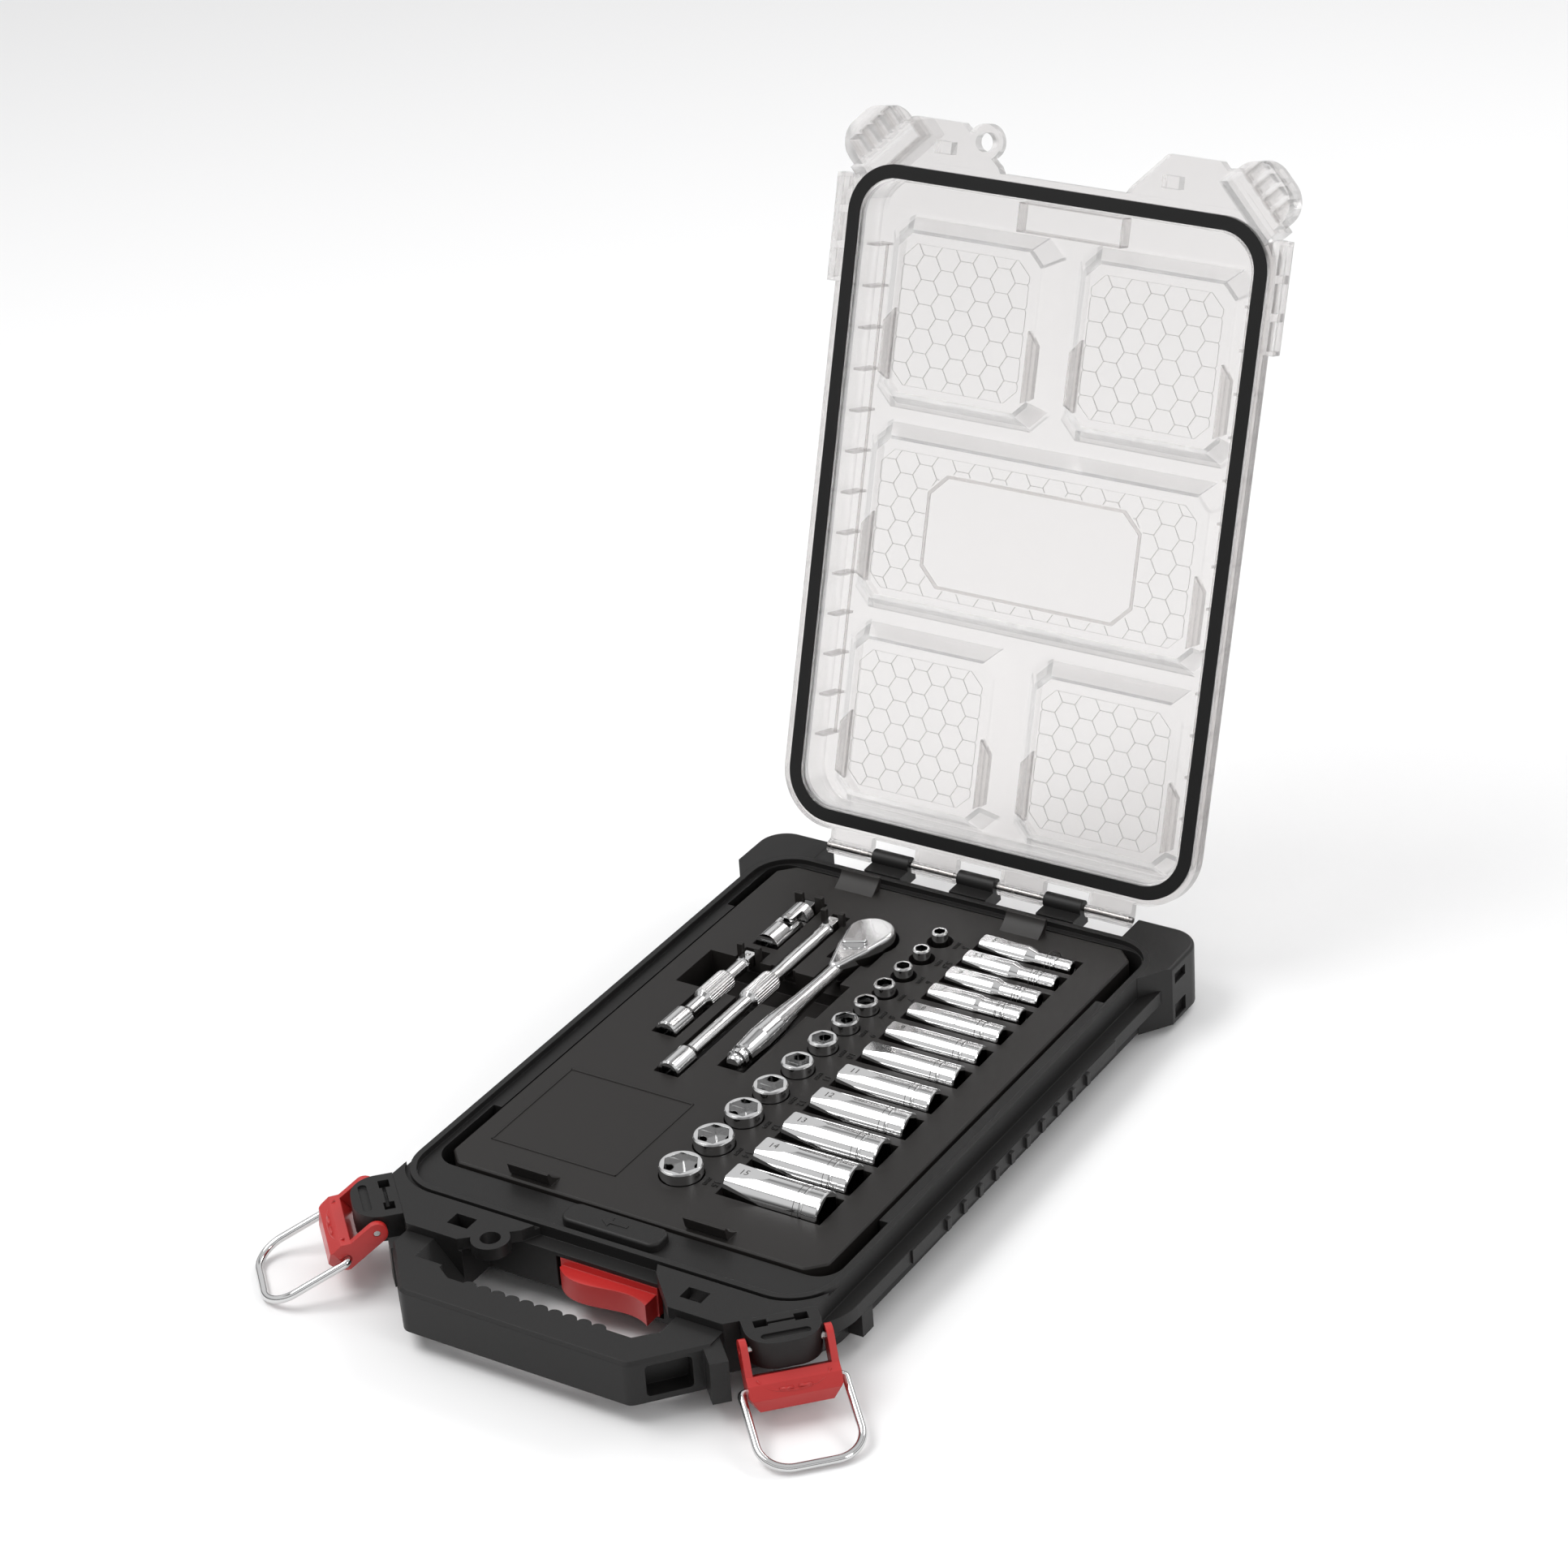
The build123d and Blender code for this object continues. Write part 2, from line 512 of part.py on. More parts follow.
# ---- Stack lock behind the grip -------------------------------------------------------------------
with BuildPart() as lock_slider:
    slab(
        LOCK_X0 + 2 + FIT, LOCK_X1 - 2 - FIT, WALL_Y, LOCK_BACK - 0.5,
        LOCK_Z0 + FIT, LOCK_Z1 - FIT,
    )  # fmt: skip
    # curved finger lip
    with BuildSketch(Plane.XY.offset(LOCK_Z0 + 1)):
        with BuildLine():
            Spline(
                (LOCK_X0 + 3, WALL_Y - 2), (LOCK_X0 + 16, WALL_Y - 8),
                (LOCK_X0 + 34, WALL_Y - 6), (LOCK_X1 - 3, WALL_Y - 9),
            )  # fmt: skip
            Polyline(
                (LOCK_X1 - 3, WALL_Y - 9), (LOCK_X1 - 3, WALL_Y + 1),
                (LOCK_X0 + 3, WALL_Y + 1), (LOCK_X0 + 3, WALL_Y - 2),
            )  # fmt: skip
        make_face()
    extrude(amount=LOCK_Z1 - LOCK_Z0 - 5)
keep("lock_slider", lock_slider.part)

with BuildPart() as lock_housing:
    with BuildSketch(Plane.XY.offset(SHELF_Z)):
        with Locations((2, (CAVITY_FRONT - RIM_L / 2) / 2 + 1.5)):
            RectangleRounded(52, 14, 5)
    extrude(amount=RIM_Z + 1.5 - SHELF_Z)
    fillet(lock_housing.faces().sort_by(Axis.Z)[-1].edges(), 1.5)
keep("lock_housing", lock_housing.part)

# ---- Lid: clear shell with stacking pockets, drawn closed in its own turned frame -----------------
POCKET_W = (2 * POCKET_X - POCKET_GAP_X) / 2
pocket_mid = (POCKET_X + POCKET_GAP_X / 2) / 2
pocket_row = POCKET_LONG + POCKET_GAP_Y
pocket_y = [POCKET_Y0 + POCKET_LONG / 2 + n * pocket_row for n in range(3)]
POCKETS = [
    (-pocket_mid, pocket_y[0], POCKET_W),
    (pocket_mid, pocket_y[0], POCKET_W),
    (0, pocket_y[1], 2 * POCKET_X),
    (-pocket_mid, pocket_y[2], POCKET_W),
    (pocket_mid, pocket_y[2], POCKET_W),
]


def pocket_body(x, y, width, grow, z_top, z_floor, mode):
    """Chamfered pocket that narrows towards its floor, inside the lid."""
    with BuildSketch(LID.offset(z_top)) as mouth:
        with Locations((x, y)):
            edge = Rectangle(width + grow, POCKET_LONG + grow)
            chamfer(edge.vertices(), POCKET_CUT)
    narrow = 2 * POCKET_DRAFT
    with BuildSketch(LID.offset(z_floor)) as floor:
        with Locations((x, y)):
            edge = Rectangle(width + grow - narrow, POCKET_LONG + grow - narrow)
            chamfer(edge.vertices(), POCKET_CUT - 2)
    loft([mouth.sketch, floor.sketch], ruled=True, mode=mode)


with BuildPart() as lid_shell:
    # flange over the ridge, side walls and top
    rounded(RIM_W + 10, RIM_L + 10, RIM_R + 5, LID_LOW, LID_FLANGE_Z, plane=LID)
    rounded(RIM_W - 7, RIM_L - 7, RIM_R - 3, LID_FLANGE_Z, LID_TOP, plane=LID)
    top_edges = lid_shell.faces().sort_by(Axis(LID.origin, LID.z_dir))[-1].edges()
    fillet(top_edges, 3)
    rounded(
        RIM_W - 7 - 2 * LID_T, RIM_L - 7 - 2 * LID_T, RIM_R - 5,
        LID_LOW, LID_TOP - LID_T, Mode.SUBTRACT, plane=LID,
    )  # fmt: skip
    # front decks, keepers, padlock eye and latch bosses
    for side in ("left", "right"):
        sign = -1 if side == "left" else 1
        plate(deck_outline(side), LID_LOW, LID_LOW + DECK_T, plane=LID)
        home = corner(side, LID)
        shift = rearward(side) * LATCH_SHIFT
        home = Plane(origin=home.origin + home.x_dir * shift, x_dir=home.x_dir, z_dir=home.z_dir)
        with BuildSketch(home.offset(LID_LOW + 0.7)):
            RectangleRounded(LOBE_W, 2 * BOSS_OUT, 13)
            with Locations((0, BOSS_OUT + 4)):
                Rectangle(LOBE_W + 1, 2 * BOSS_OUT, mode=Mode.SUBTRACT)
        extrude(amount=BOSS_TOP - LID_LOW - 0.7)
        # upright behind the boss, that keeps the bail in place
        with BuildSketch(home.offset(LID_LOW)):
            with Locations((0, 3)):
                Rectangle(LOBE_W + 4, 10)
        extrude(amount=BOSS_TOP + 5 - LID_LOW)
        # windows between the boss's ribs
        for n in range(4):
            with BuildSketch(home.offset(BOSS_TOP)):
                with Locations((-11.4 + 7.6 * n, -9)):
                    Rectangle(5.2, 11)
            extrude(amount=-8, mode=Mode.SUBTRACT)
    with BuildSketch(LID.offset(LID_LOW)):
        with Locations((EYE_X, EYE_Y)):
            Circle(EYE_R)
    extrude(amount=DECK_T)
    rounded(
        RIM_W - 7 - 2 * LID_T, RIM_L - 7 - 2 * LID_T, RIM_R - 5,
        LID_LOW, LID_TOP - LID_T, Mode.SUBTRACT, plane=LID,
    )  # fmt: skip
    # seal groove
    for grow, mode in ((SEAL_W, Mode.SUBTRACT), (-SEAL_W, Mode.ADD)):
        rounded(
            RIM_W - RIDGE_W + grow, RIM_L - RIDGE_W + grow, RIM_R - RIDGE_W / 2 + grow / 2,
            LID_LOW, RIM_Z + FIT + SEAL_T, mode, plane=LID,
        )  # fmt: skip
    rounded(
        RIM_W - 7 - 2 * LID_T, RIM_L - 7 - 2 * LID_T, RIM_R - 5,
        LID_LOW, LID_TOP - LID_T, Mode.SUBTRACT, plane=LID,
    )  # fmt: skip
    # stacking pockets sunk into the top
    for x, y, width in POCKETS:
        pocket_body(x, y, width, 4, LID_TOP - LID_T, LID_TOP - POCKET_DEEP - LID_T, Mode.ADD)
    for x, y, width in POCKETS:
        pocket_body(x, y, width, 0, LID_TOP + 0.01, LID_TOP - POCKET_DEEP, Mode.SUBTRACT)
    with BuildSketch(LID.offset(EYE_Z0)):
        with Locations((EYE_X, EYE_Y)):
            Circle(EYE_HOLE)
    extrude(amount=DECK_T + 4, mode=Mode.SUBTRACT)
    for sign in (-1, 1):
        with BuildSketch(LID.offset(RIM_Z - 5.5)):
            with Locations((sign * KEEPER_X, KEEPER_Y)):
                Rectangle(KEEPER_W - 2, KEEPER_D - 2)
        extrude(amount=LID_LOW - RIM_Z + 6.5)
    # side lugs with open windows
    for sign in (-1, 1):
        with BuildSketch(LID.offset(LID_LOW)):
            with Locations((sign * (RIM_W / 2 + 6.5), LUG_Y)):
                Rectangle(7, LUG_LONG)
            with GridLocations(0, LUG_LONG / 3, 1, 3):
                with Locations((sign * (RIM_W / 2 + 7.6), LUG_Y)):
                    Rectangle(2.4, LUG_LONG / 3 - 4, mode=Mode.SUBTRACT)
        extrude(amount=LUG_H)
    # ribs on the front wall
    for n in range(6):
        with BuildSketch(LID.offset(LID_FLANGE_Z - 0.5)):
            with Locations((-24 + 17 * n, -(RIM_L - 7) / 2 - 0.75)):
                Rectangle(3, 2.5)
        extrude(amount=14)
    # knuckles
    for x in LID_KNUCKLES:
        start = LID.origin + LID.x_dir * (x - LID_KNUCKLE_W / 2)
        start = start + LID.y_dir * HINGE_Y + LID.z_dir * HINGE_Z
        rod(Plane(origin=start, z_dir=LID.x_dir), KNUCKLE_R, LID_KNUCKLE_W)
        with BuildSketch(LID.offset(LID_LOW)):
            with Locations((x, (HINGE_Y + RIM_L / 2 + 4) / 2)):
                Rectangle(LID_KNUCKLE_W, HINGE_Y - RIM_L / 2 - 4)
        extrude(amount=HINGE_Z + KNUCKLE_R - LID_LOW)
    axle = LID.origin + LID.x_dir * -100 + LID.y_dir * HINGE_Y + LID.z_dir * HINGE_Z
    rod(Plane(origin=axle, z_dir=LID.x_dir), ROD_R + RUN, 200, Mode.SUBTRACT)
keep("lid_shell", lid_shell.part)

with BuildPart() as lid_gasket:
    rounded(
        RIM_W - RIDGE_W + SEAL_W - 0.2, RIM_L - RIDGE_W + SEAL_W - 0.2,
        RIM_R - RIDGE_W / 2 + SEAL_W / 2 - 0.1,
        RIM_Z + FIT, RIM_Z + FIT + SEAL_T, plane=LID,
    )  # fmt: skip
    rounded(
        RIM_W - RIDGE_W - SEAL_W + 0.2, RIM_L - RIDGE_W - SEAL_W + 0.2,
        RIM_R - RIDGE_W / 2 - SEAL_W / 2 + 0.1,
        RIM_Z + FIT, RIM_Z + FIT + SEAL_T, Mode.SUBTRACT, plane=LID,
    )  # fmt: skip
keep("lid_gasket", lid_gasket.part)

# ---- Tool tray: a plate with sunk seats for every tool --------------------------------------------
SEAT_WALL = 1.6
TRAY_T = 2.5
TRAY_LOW = FLOOR_Z + FIT


def shallow_x(size):
    return SHALLOW_RIGHT - max(outer_d(size), DRIVE_OD) / 2


def deep_d(size):
    return max(outer_d(size), DRIVE_OD)


def deep_z(size):
    """Height of a deep socket's axis: it lies a little under half out of the tray."""
    return TRAY_TOP - 0.06 * deep_d(size)


# round seats: (x, y, radius, floor height)
ROUND_SEATS = [
    (shallow_x(size), y, deep_d(size) / 2 + POCKET_SLACK, SHALLOW_TOP - SHALLOW_LONG)
    for size, y, _ in SOCKETS
] + [(RATCHET_X, HEAD_Y, HEAD_R + 1.6, 20)]
# straight seats: (low x, high x, low y, high y, floor height)
SLOTS = [
    (DEEP_X0, DEEP_X1, y - deep_d(size) / 2 - POCKET_SLACK, y + deep_d(size) / 2 + POCKET_SLACK,
     deep_z(size) - deep_d(size) / 2)
    for size, _, y in SOCKETS
] + [
    (RATCHET_X - 12, RATCHET_X + 12, 88, HEAD_Y, HEAD_LOW - 0.5),
    (RATCHET_X - 7.5, RATCHET_X + 7.5, RATCHET_END - 2, 90, 27),
    (LONG_X - 7, LONG_X + 7, LONG_Y0 - 2, 70, TOOL_Z - FEMALE_D / 2 - 0.3),
    (LONG_X - 5, LONG_X + 5, 68, LONG_Y1 + 6, TOOL_Z - ROD_D / 2 - 0.5),
    (SHORT_X - 7, SHORT_X + 7, SHORT_Y0 - 2, SHORT_Y1 + 6, TOOL_Z - FEMALE_D / 2 - 0.3),
    (UJ_X - 7.2, UJ_X + 7.2, UJ_Y0 - 2, UJ_Y1 + 4, TOOL_Z - UJ_D / 2 - 1.2),
    (*RECESS, RECESS_Z),
]  # fmt: skip

with BuildPart() as tool_tray:
    with BuildSketch(Plane.XY.offset(TRAY_LOW)) as tray_outline:
        with Locations((0, TRAY_Y)):
            tray_edge = Rectangle(TRAY_W, TRAY_L)
            chamfer(tray_edge.vertices(), 8)
    extrude(amount=TRAY_TOP - TRAY_LOW)
    fillet(tool_tray.edges().filter_by(Axis.Z), 3)
    chamfer(tool_tray.faces().sort_by(Axis.Z)[-1].edges(), 0.8)
    # hollow underside, then the seats' own walls and floors
    with BuildSketch(Plane.XY.offset(TRAY_LOW)):
        with Locations((0, TRAY_Y)):
            under = Rectangle(TRAY_W - 5, TRAY_L - 5)
            chamfer(under.vertices(), 8)
    extrude(amount=TRAY_TOP - TRAY_T - TRAY_LOW, mode=Mode.SUBTRACT)
    for x, y, radius, z in ROUND_SEATS:
        with BuildSketch(Plane.XY.offset(z - SEAT_WALL)):
            with Locations((x, y)):
                Circle(radius + SEAT_WALL)
        extrude(amount=TRAY_TOP - 1 - z + SEAT_WALL)
    for x0, x1, y0, y1, z in SLOTS:
        slab(
            x0 - SEAT_WALL, x1 + SEAT_WALL, y0 - SEAT_WALL, y1 + SEAT_WALL,
            z - SEAT_WALL, TRAY_TOP - 1,
        )  # fmt: skip
    for x, y, radius, z in ROUND_SEATS:
        with BuildSketch(Plane.XY.offset(z)):
            with Locations((x, y)):
                Circle(radius)
        extrude(amount=TRAY_TOP + 1 - z, mode=Mode.SUBTRACT)
    for x0, x1, y0, y1, z in SLOTS:
        slab(x0, x1, y0, y1, z, TRAY_TOP + 1, Mode.SUBTRACT)
    # legs down to the tub's floor
    for x in (-94, 18, 90):
        for y in (-125, 30, 145):
            slab(x - 3, x + 3, y - 3, y + 3, TRAY_LOW, TRAY_TOP - 1.5)
    # clips that stand up around the square ends
    for x, y, half, floor in (
        (UJ_X, UJ_Y1 - 1.5, 8, TOOL_Z - 7), (LONG_X, LONG_Y1 - 2, 6.5, TOOL_Z - 5),
        (SHORT_X, SHORT_Y1 - 2, 6.5, TOOL_Z - 7),
    ):  # fmt: skip
        slab(x - half, x + half, y - 1.2, y + 1.2, floor, CLIP_TOP)
        slab(
            x - DRIVE / 2 - 0.4, x + DRIVE / 2 + 0.4, y - 2, y + 2,
            TOOL_Z - DRIVE / 2 - 0.3, CLIP_TOP + 1, Mode.SUBTRACT,
        )  # fmt: skip
    # curled finger tabs at the front and rear edges
    for x, y, way in TABS:
        with BuildSketch(Plane.YZ.offset(x - TAB_W / 2)):
            with BuildLine():
                foot, bend, tip = y - way * 6, y + way * 1, y + way * TAB_REACH
                Spline(
                    (foot, TRAY_TOP - 1), (bend, TRAY_TOP + TAB_H * 0.45), (tip, TRAY_TOP + TAB_H),
                    tangents=((way, 0.5), (way * 0.3, 1)),
                )  # fmt: skip
                Polyline((tip, TRAY_TOP + TAB_H), (tip + way * TAB_T, TRAY_TOP + TAB_H))
                Spline(
                    (tip + way * TAB_T, TRAY_TOP + TAB_H), (bend + way * TAB_T, TRAY_TOP - 0.4),
                    (bend, TRAY_TOP - 1), tangents=((-way * 0.3, -1), (-way, -0.2)),
                )  # fmt: skip
                Polyline((bend, TRAY_TOP - 1), (foot, TRAY_TOP - 1))
            make_face()
        extrude(amount=TAB_W)
keep("tool_tray", tool_tray.part)

# ---- Ratchet --------------------------------------------------------------------------------------


def tool_plane(x, y, z):
    """Cross-section of a tool that lies along Y."""
    return Plane(origin=(x, y, z), x_dir=(1, 0, 0), z_dir=(0, 1, 0))


def turned(x, z, profile):
    """A body turned about a tool's axis, from (y, radius) points, inside the part being built."""
    first, last = profile[0][0], profile[-1][0]
    with BuildSketch(Plane(origin=(x, 0, z), x_dir=(0, 1, 0), z_dir=(0, 0, 1))) as outline:
        with BuildLine():
            Polyline((first, 0), *profile, (last, 0), close=True)
        make_face()
    revolve(outline.sketch, axis=Axis((x, 0, z), (0, 1, 0)))


with BuildPart() as ratchet_body:
    with BuildSketch(Plane.XY.offset(HEAD_LOW)):
        with Locations((RATCHET_X, HEAD_Y)):
            Circle(HEAD_R)
        with Locations((RATCHET_X, SELECTOR_Y + 1)):
            Circle(HEAD_R - 3.2)
        with Locations((RATCHET_X, 78)):
            Circle(3.6)
        make_hull()
    extrude(amount=HEAD_TOP - HEAD_LOW)
    fillet(ratchet_body.faces().sort_by(Axis.Z)[-1].edges(), 2.4)
    fillet(ratchet_body.faces().sort_by(Axis.Z)[0].edges(), 1.6)
    end = RATCHET_END
    turned(
        RATCHET_X, HANDLE_Z,
        [(end, 3.2), (end + 1, 4), (end + 3.5, 4), (end + 4, 5.4), (end + 6.5, 5.4), (end + 7, 3.8),
         (end + 8.5, 3.8), (end + 9, 5.6), (end + 11, 5.8), (end + 24, 6.6), (end + 38, 6.3),
         (end + 62, 4.6), (end + 80, 3.9), (end + 97, 3.8)],
    )  # fmt: skip
    with BuildSketch(Plane.XY.offset(HEAD_LOW - 1)):
        with Locations((RATCHET_X, HEAD_Y)):
            Circle(DRIVE_NECK_R + RUN)
    extrude(amount=6, mode=Mode.SUBTRACT)
    with BuildSketch(Plane.XY.offset(HEAD_TOP - 2.2)):
        with Locations((RATCHET_X, SELECTOR_Y)):
            Circle(SELECTOR_R + RUN)
    extrude(amount=4, mode=Mode.SUBTRACT)
keep("ratchet_body", ratchet_body.part)

with BuildPart() as ratchet_drive:
    with BuildSketch(Plane.XY.offset(HEAD_LOW - 1)):
        with Locations((RATCHET_X, HEAD_Y)):
            Circle(DRIVE_NECK_R)
    extrude(amount=5.5)
    with BuildSketch(Plane.XY.offset(HEAD_LOW - 1)):
        with Locations((RATCHET_X, HEAD_Y)):
            drive_square = Rectangle(DRIVE, DRIVE)
            chamfer(drive_square.vertices(), 0.4)
    extrude(amount=-7.5)
    chamfer(ratchet_drive.faces().sort_by(Axis.Z)[0].edges(), 0.5)
keep("ratchet_drive", ratchet_drive.part)

with BuildPart() as ratchet_lever:
    with BuildSketch(Plane.XY.offset(HEAD_TOP - 2)):
        with Locations((RATCHET_X, SELECTOR_Y)):
            Circle(SELECTOR_R)
    extrude(amount=2.3)
    with BuildSketch(Plane.XY.offset(HEAD_TOP + 0.3)):
        with Locations(Location((RATCHET_X, SELECTOR_Y, 0), (0, 0, 28))):
            SlotOverall(12.5, 4.4)
    extrude(amount=2.2)
    fillet(ratchet_lever.faces().sort_by(Axis.Z)[-1].edges(), 1)
keep("ratchet_lever", ratchet_lever.part)

# ---- Extension bars ---------------------------------------------------------------------------------
for name, x, y0, y1 in (
    ("extension_long", LONG_X, LONG_Y0, LONG_Y1),
    ("extension_short", SHORT_X, SHORT_Y0, SHORT_Y1),
):
    knurl_y0 = y1 - 82 if name == "extension_long" else y1 - 45
    square_y = y1 - DRIVE_LONG
    r_bar, r_big, r_knurl = ROD_D / 2, FEMALE_D / 2, KNURL_D / 2
    with BuildPart() as extension:
        turned(
            x, TOOL_Z,
            [(y0, r_big - 0.8), (y0 + 0.8, r_big), (y0 + FEMALE_LONG, r_big),
             (y0 + FEMALE_LONG + 4, r_bar), (knurl_y0 - 1.5, r_bar), (knurl_y0, r_knurl),
             (knurl_y0 + KNURL_LONG, r_knurl), (knurl_y0 + KNURL_LONG + 1.5, r_bar),
             (square_y - 2.5, r_bar), (square_y - 1.5, r_bar + 0.4), (square_y, r_bar + 0.2)],
        )  # fmt: skip
        with BuildSketch(tool_plane(x, square_y, TOOL_Z)):
            male = Rectangle(DRIVE, DRIVE)
            chamfer(male.vertices(), 0.4)
        extrude(amount=DRIVE_LONG)
        chamfer(extension.faces().sort_by(Axis.Y)[-1].edges(), 0.5)
        with BuildSketch(tool_plane(x, y0, TOOL_Z)):
            Rectangle(DRIVE + 2 * DRIVE_SLACK, DRIVE + 2 * DRIVE_SLACK)
        extrude(amount=DRIVE_DEEP, mode=Mode.SUBTRACT)
        ball_at = Plane.XY.offset(TOOL_Z + DRIVE / 2 - 1.9)
        with BuildSketch(ball_at):
            with Locations((x, square_y + 4.5)):
                Circle(BALL_R + 0.05)
        extrude(amount=3, mode=Mode.SUBTRACT)
    keep(name, extension.part)
    with BuildPart() as ball:
        with Locations((x, square_y + 4.5, TOOL_Z + DRIVE / 2 - 1.9 + BALL_R)):
            Sphere(BALL_R)
    keep(f"{name}_ball", ball.part)

# ---- Universal joint: two forks on a cross ------------------------------------------------------------
FORK_IN, FORK_OUT, FORK_R, CROTCH = 4.0, UJ_D / 2, 3.2, 7.6
for name, way in (("ujoint_female", -1), ("ujoint_male", 1)):
    crotch_y = UJ_Y + way * CROTCH
    end_y = UJ_Y0 if way < 0 else UJ_Y1 - DRIVE_LONG
    with BuildPart() as fork:
        with BuildSketch(tool_plane(UJ_X, min(crotch_y, end_y), TOOL_Z)):
            Circle(UJ_D / 2)
        extrude(amount=abs(crotch_y - end_y))
        # two ears with eyes for the cross's pins
        ear_y = sorted((crotch_y, UJ_Y - way * FORK_R))
        with BuildSketch(tool_plane(UJ_X, ear_y[0], TOOL_Z)):
            Circle(UJ_D / 2)
            if way < 0:
                Rectangle(2 * FORK_IN, UJ_D, mode=Mode.SUBTRACT)
                Rectangle(UJ_D, 2 * FORK_R, mode=Mode.INTERSECT)
            else:
                Rectangle(UJ_D, 2 * FORK_IN, mode=Mode.SUBTRACT)
                Rectangle(2 * FORK_R, UJ_D, mode=Mode.INTERSECT)
        extrude(amount=ear_y[1] - ear_y[0])
        # rounded ear ends
        pin = (1, 0, 0) if way < 0 else (0, 0, 1)
        tip = [e for e in fork.edges() if abs(e.center().Y - (UJ_Y - way * FORK_R)) < 0.01]
        long_tip = [e for e in tip if abs((e % 0.5).dot(Vector(*pin))) > 0.99]
        fillet(long_tip, FORK_R - 0.4)
        rod(
            Plane(origin=Vector(UJ_X, UJ_Y, TOOL_Z) - Vector(*pin) * 10, z_dir=pin),
            PIN_R + RUN, 20, Mode.SUBTRACT,
        )  # fmt: skip
        if way < 0:
            with BuildSketch(tool_plane(UJ_X, end_y, TOOL_Z)):
                Rectangle(DRIVE + 2 * DRIVE_SLACK, DRIVE + 2 * DRIVE_SLACK)
            extrude(amount=DRIVE_DEEP, mode=Mode.SUBTRACT)
        else:
            with BuildSketch(tool_plane(UJ_X, end_y, TOOL_Z)):
                male = Rectangle(DRIVE, DRIVE)
                chamfer(male.vertices(), 0.4)
            extrude(amount=DRIVE_LONG)
            chamfer(fork.faces().sort_by(Axis.Y)[-1].edges(), 0.5)
    keep(name, fork.part)

with BuildPart() as ujoint_cross:
    with Locations((UJ_X, UJ_Y, TOOL_Z)):
        Box(2 * FORK_R + 0.6, 2 * FORK_R - 1, 2 * FORK_R + 0.6)
    for pin in ((1, 0, 0), (0, 0, 1)):
        start = Vector(UJ_X, UJ_Y, TOOL_Z) - Vector(*pin) * (FORK_OUT - 0.3)
        rod(Plane(origin=start, z_dir=pin), PIN_R, 2 * FORK_OUT - 0.6)
keep("ujoint_cross", ujoint_cross.part)

# ---- Sockets ---------------------------------------------------------------------------------------------
def running_flats(x0, x_end, x1, y, z, seat_d):
    """Square bar that widens along X until it clears the socket: it leaves four flats."""
    with BuildPart() as flats:
        for x, width in ((x0, FLAT_SHARE * seat_d), (x_end, seat_d + 1)):
            with BuildSketch(Plane.YZ.offset(x)):
                with Locations((y, z)):
                    Rectangle(width, width)
        loft()
        with BuildSketch(Plane.YZ.offset(x_end)):
            with Locations((y, z)):
                Rectangle(seat_d + 1, seat_d + 1)
        extrude(amount=x1 - x_end + 1)
    return flats.part


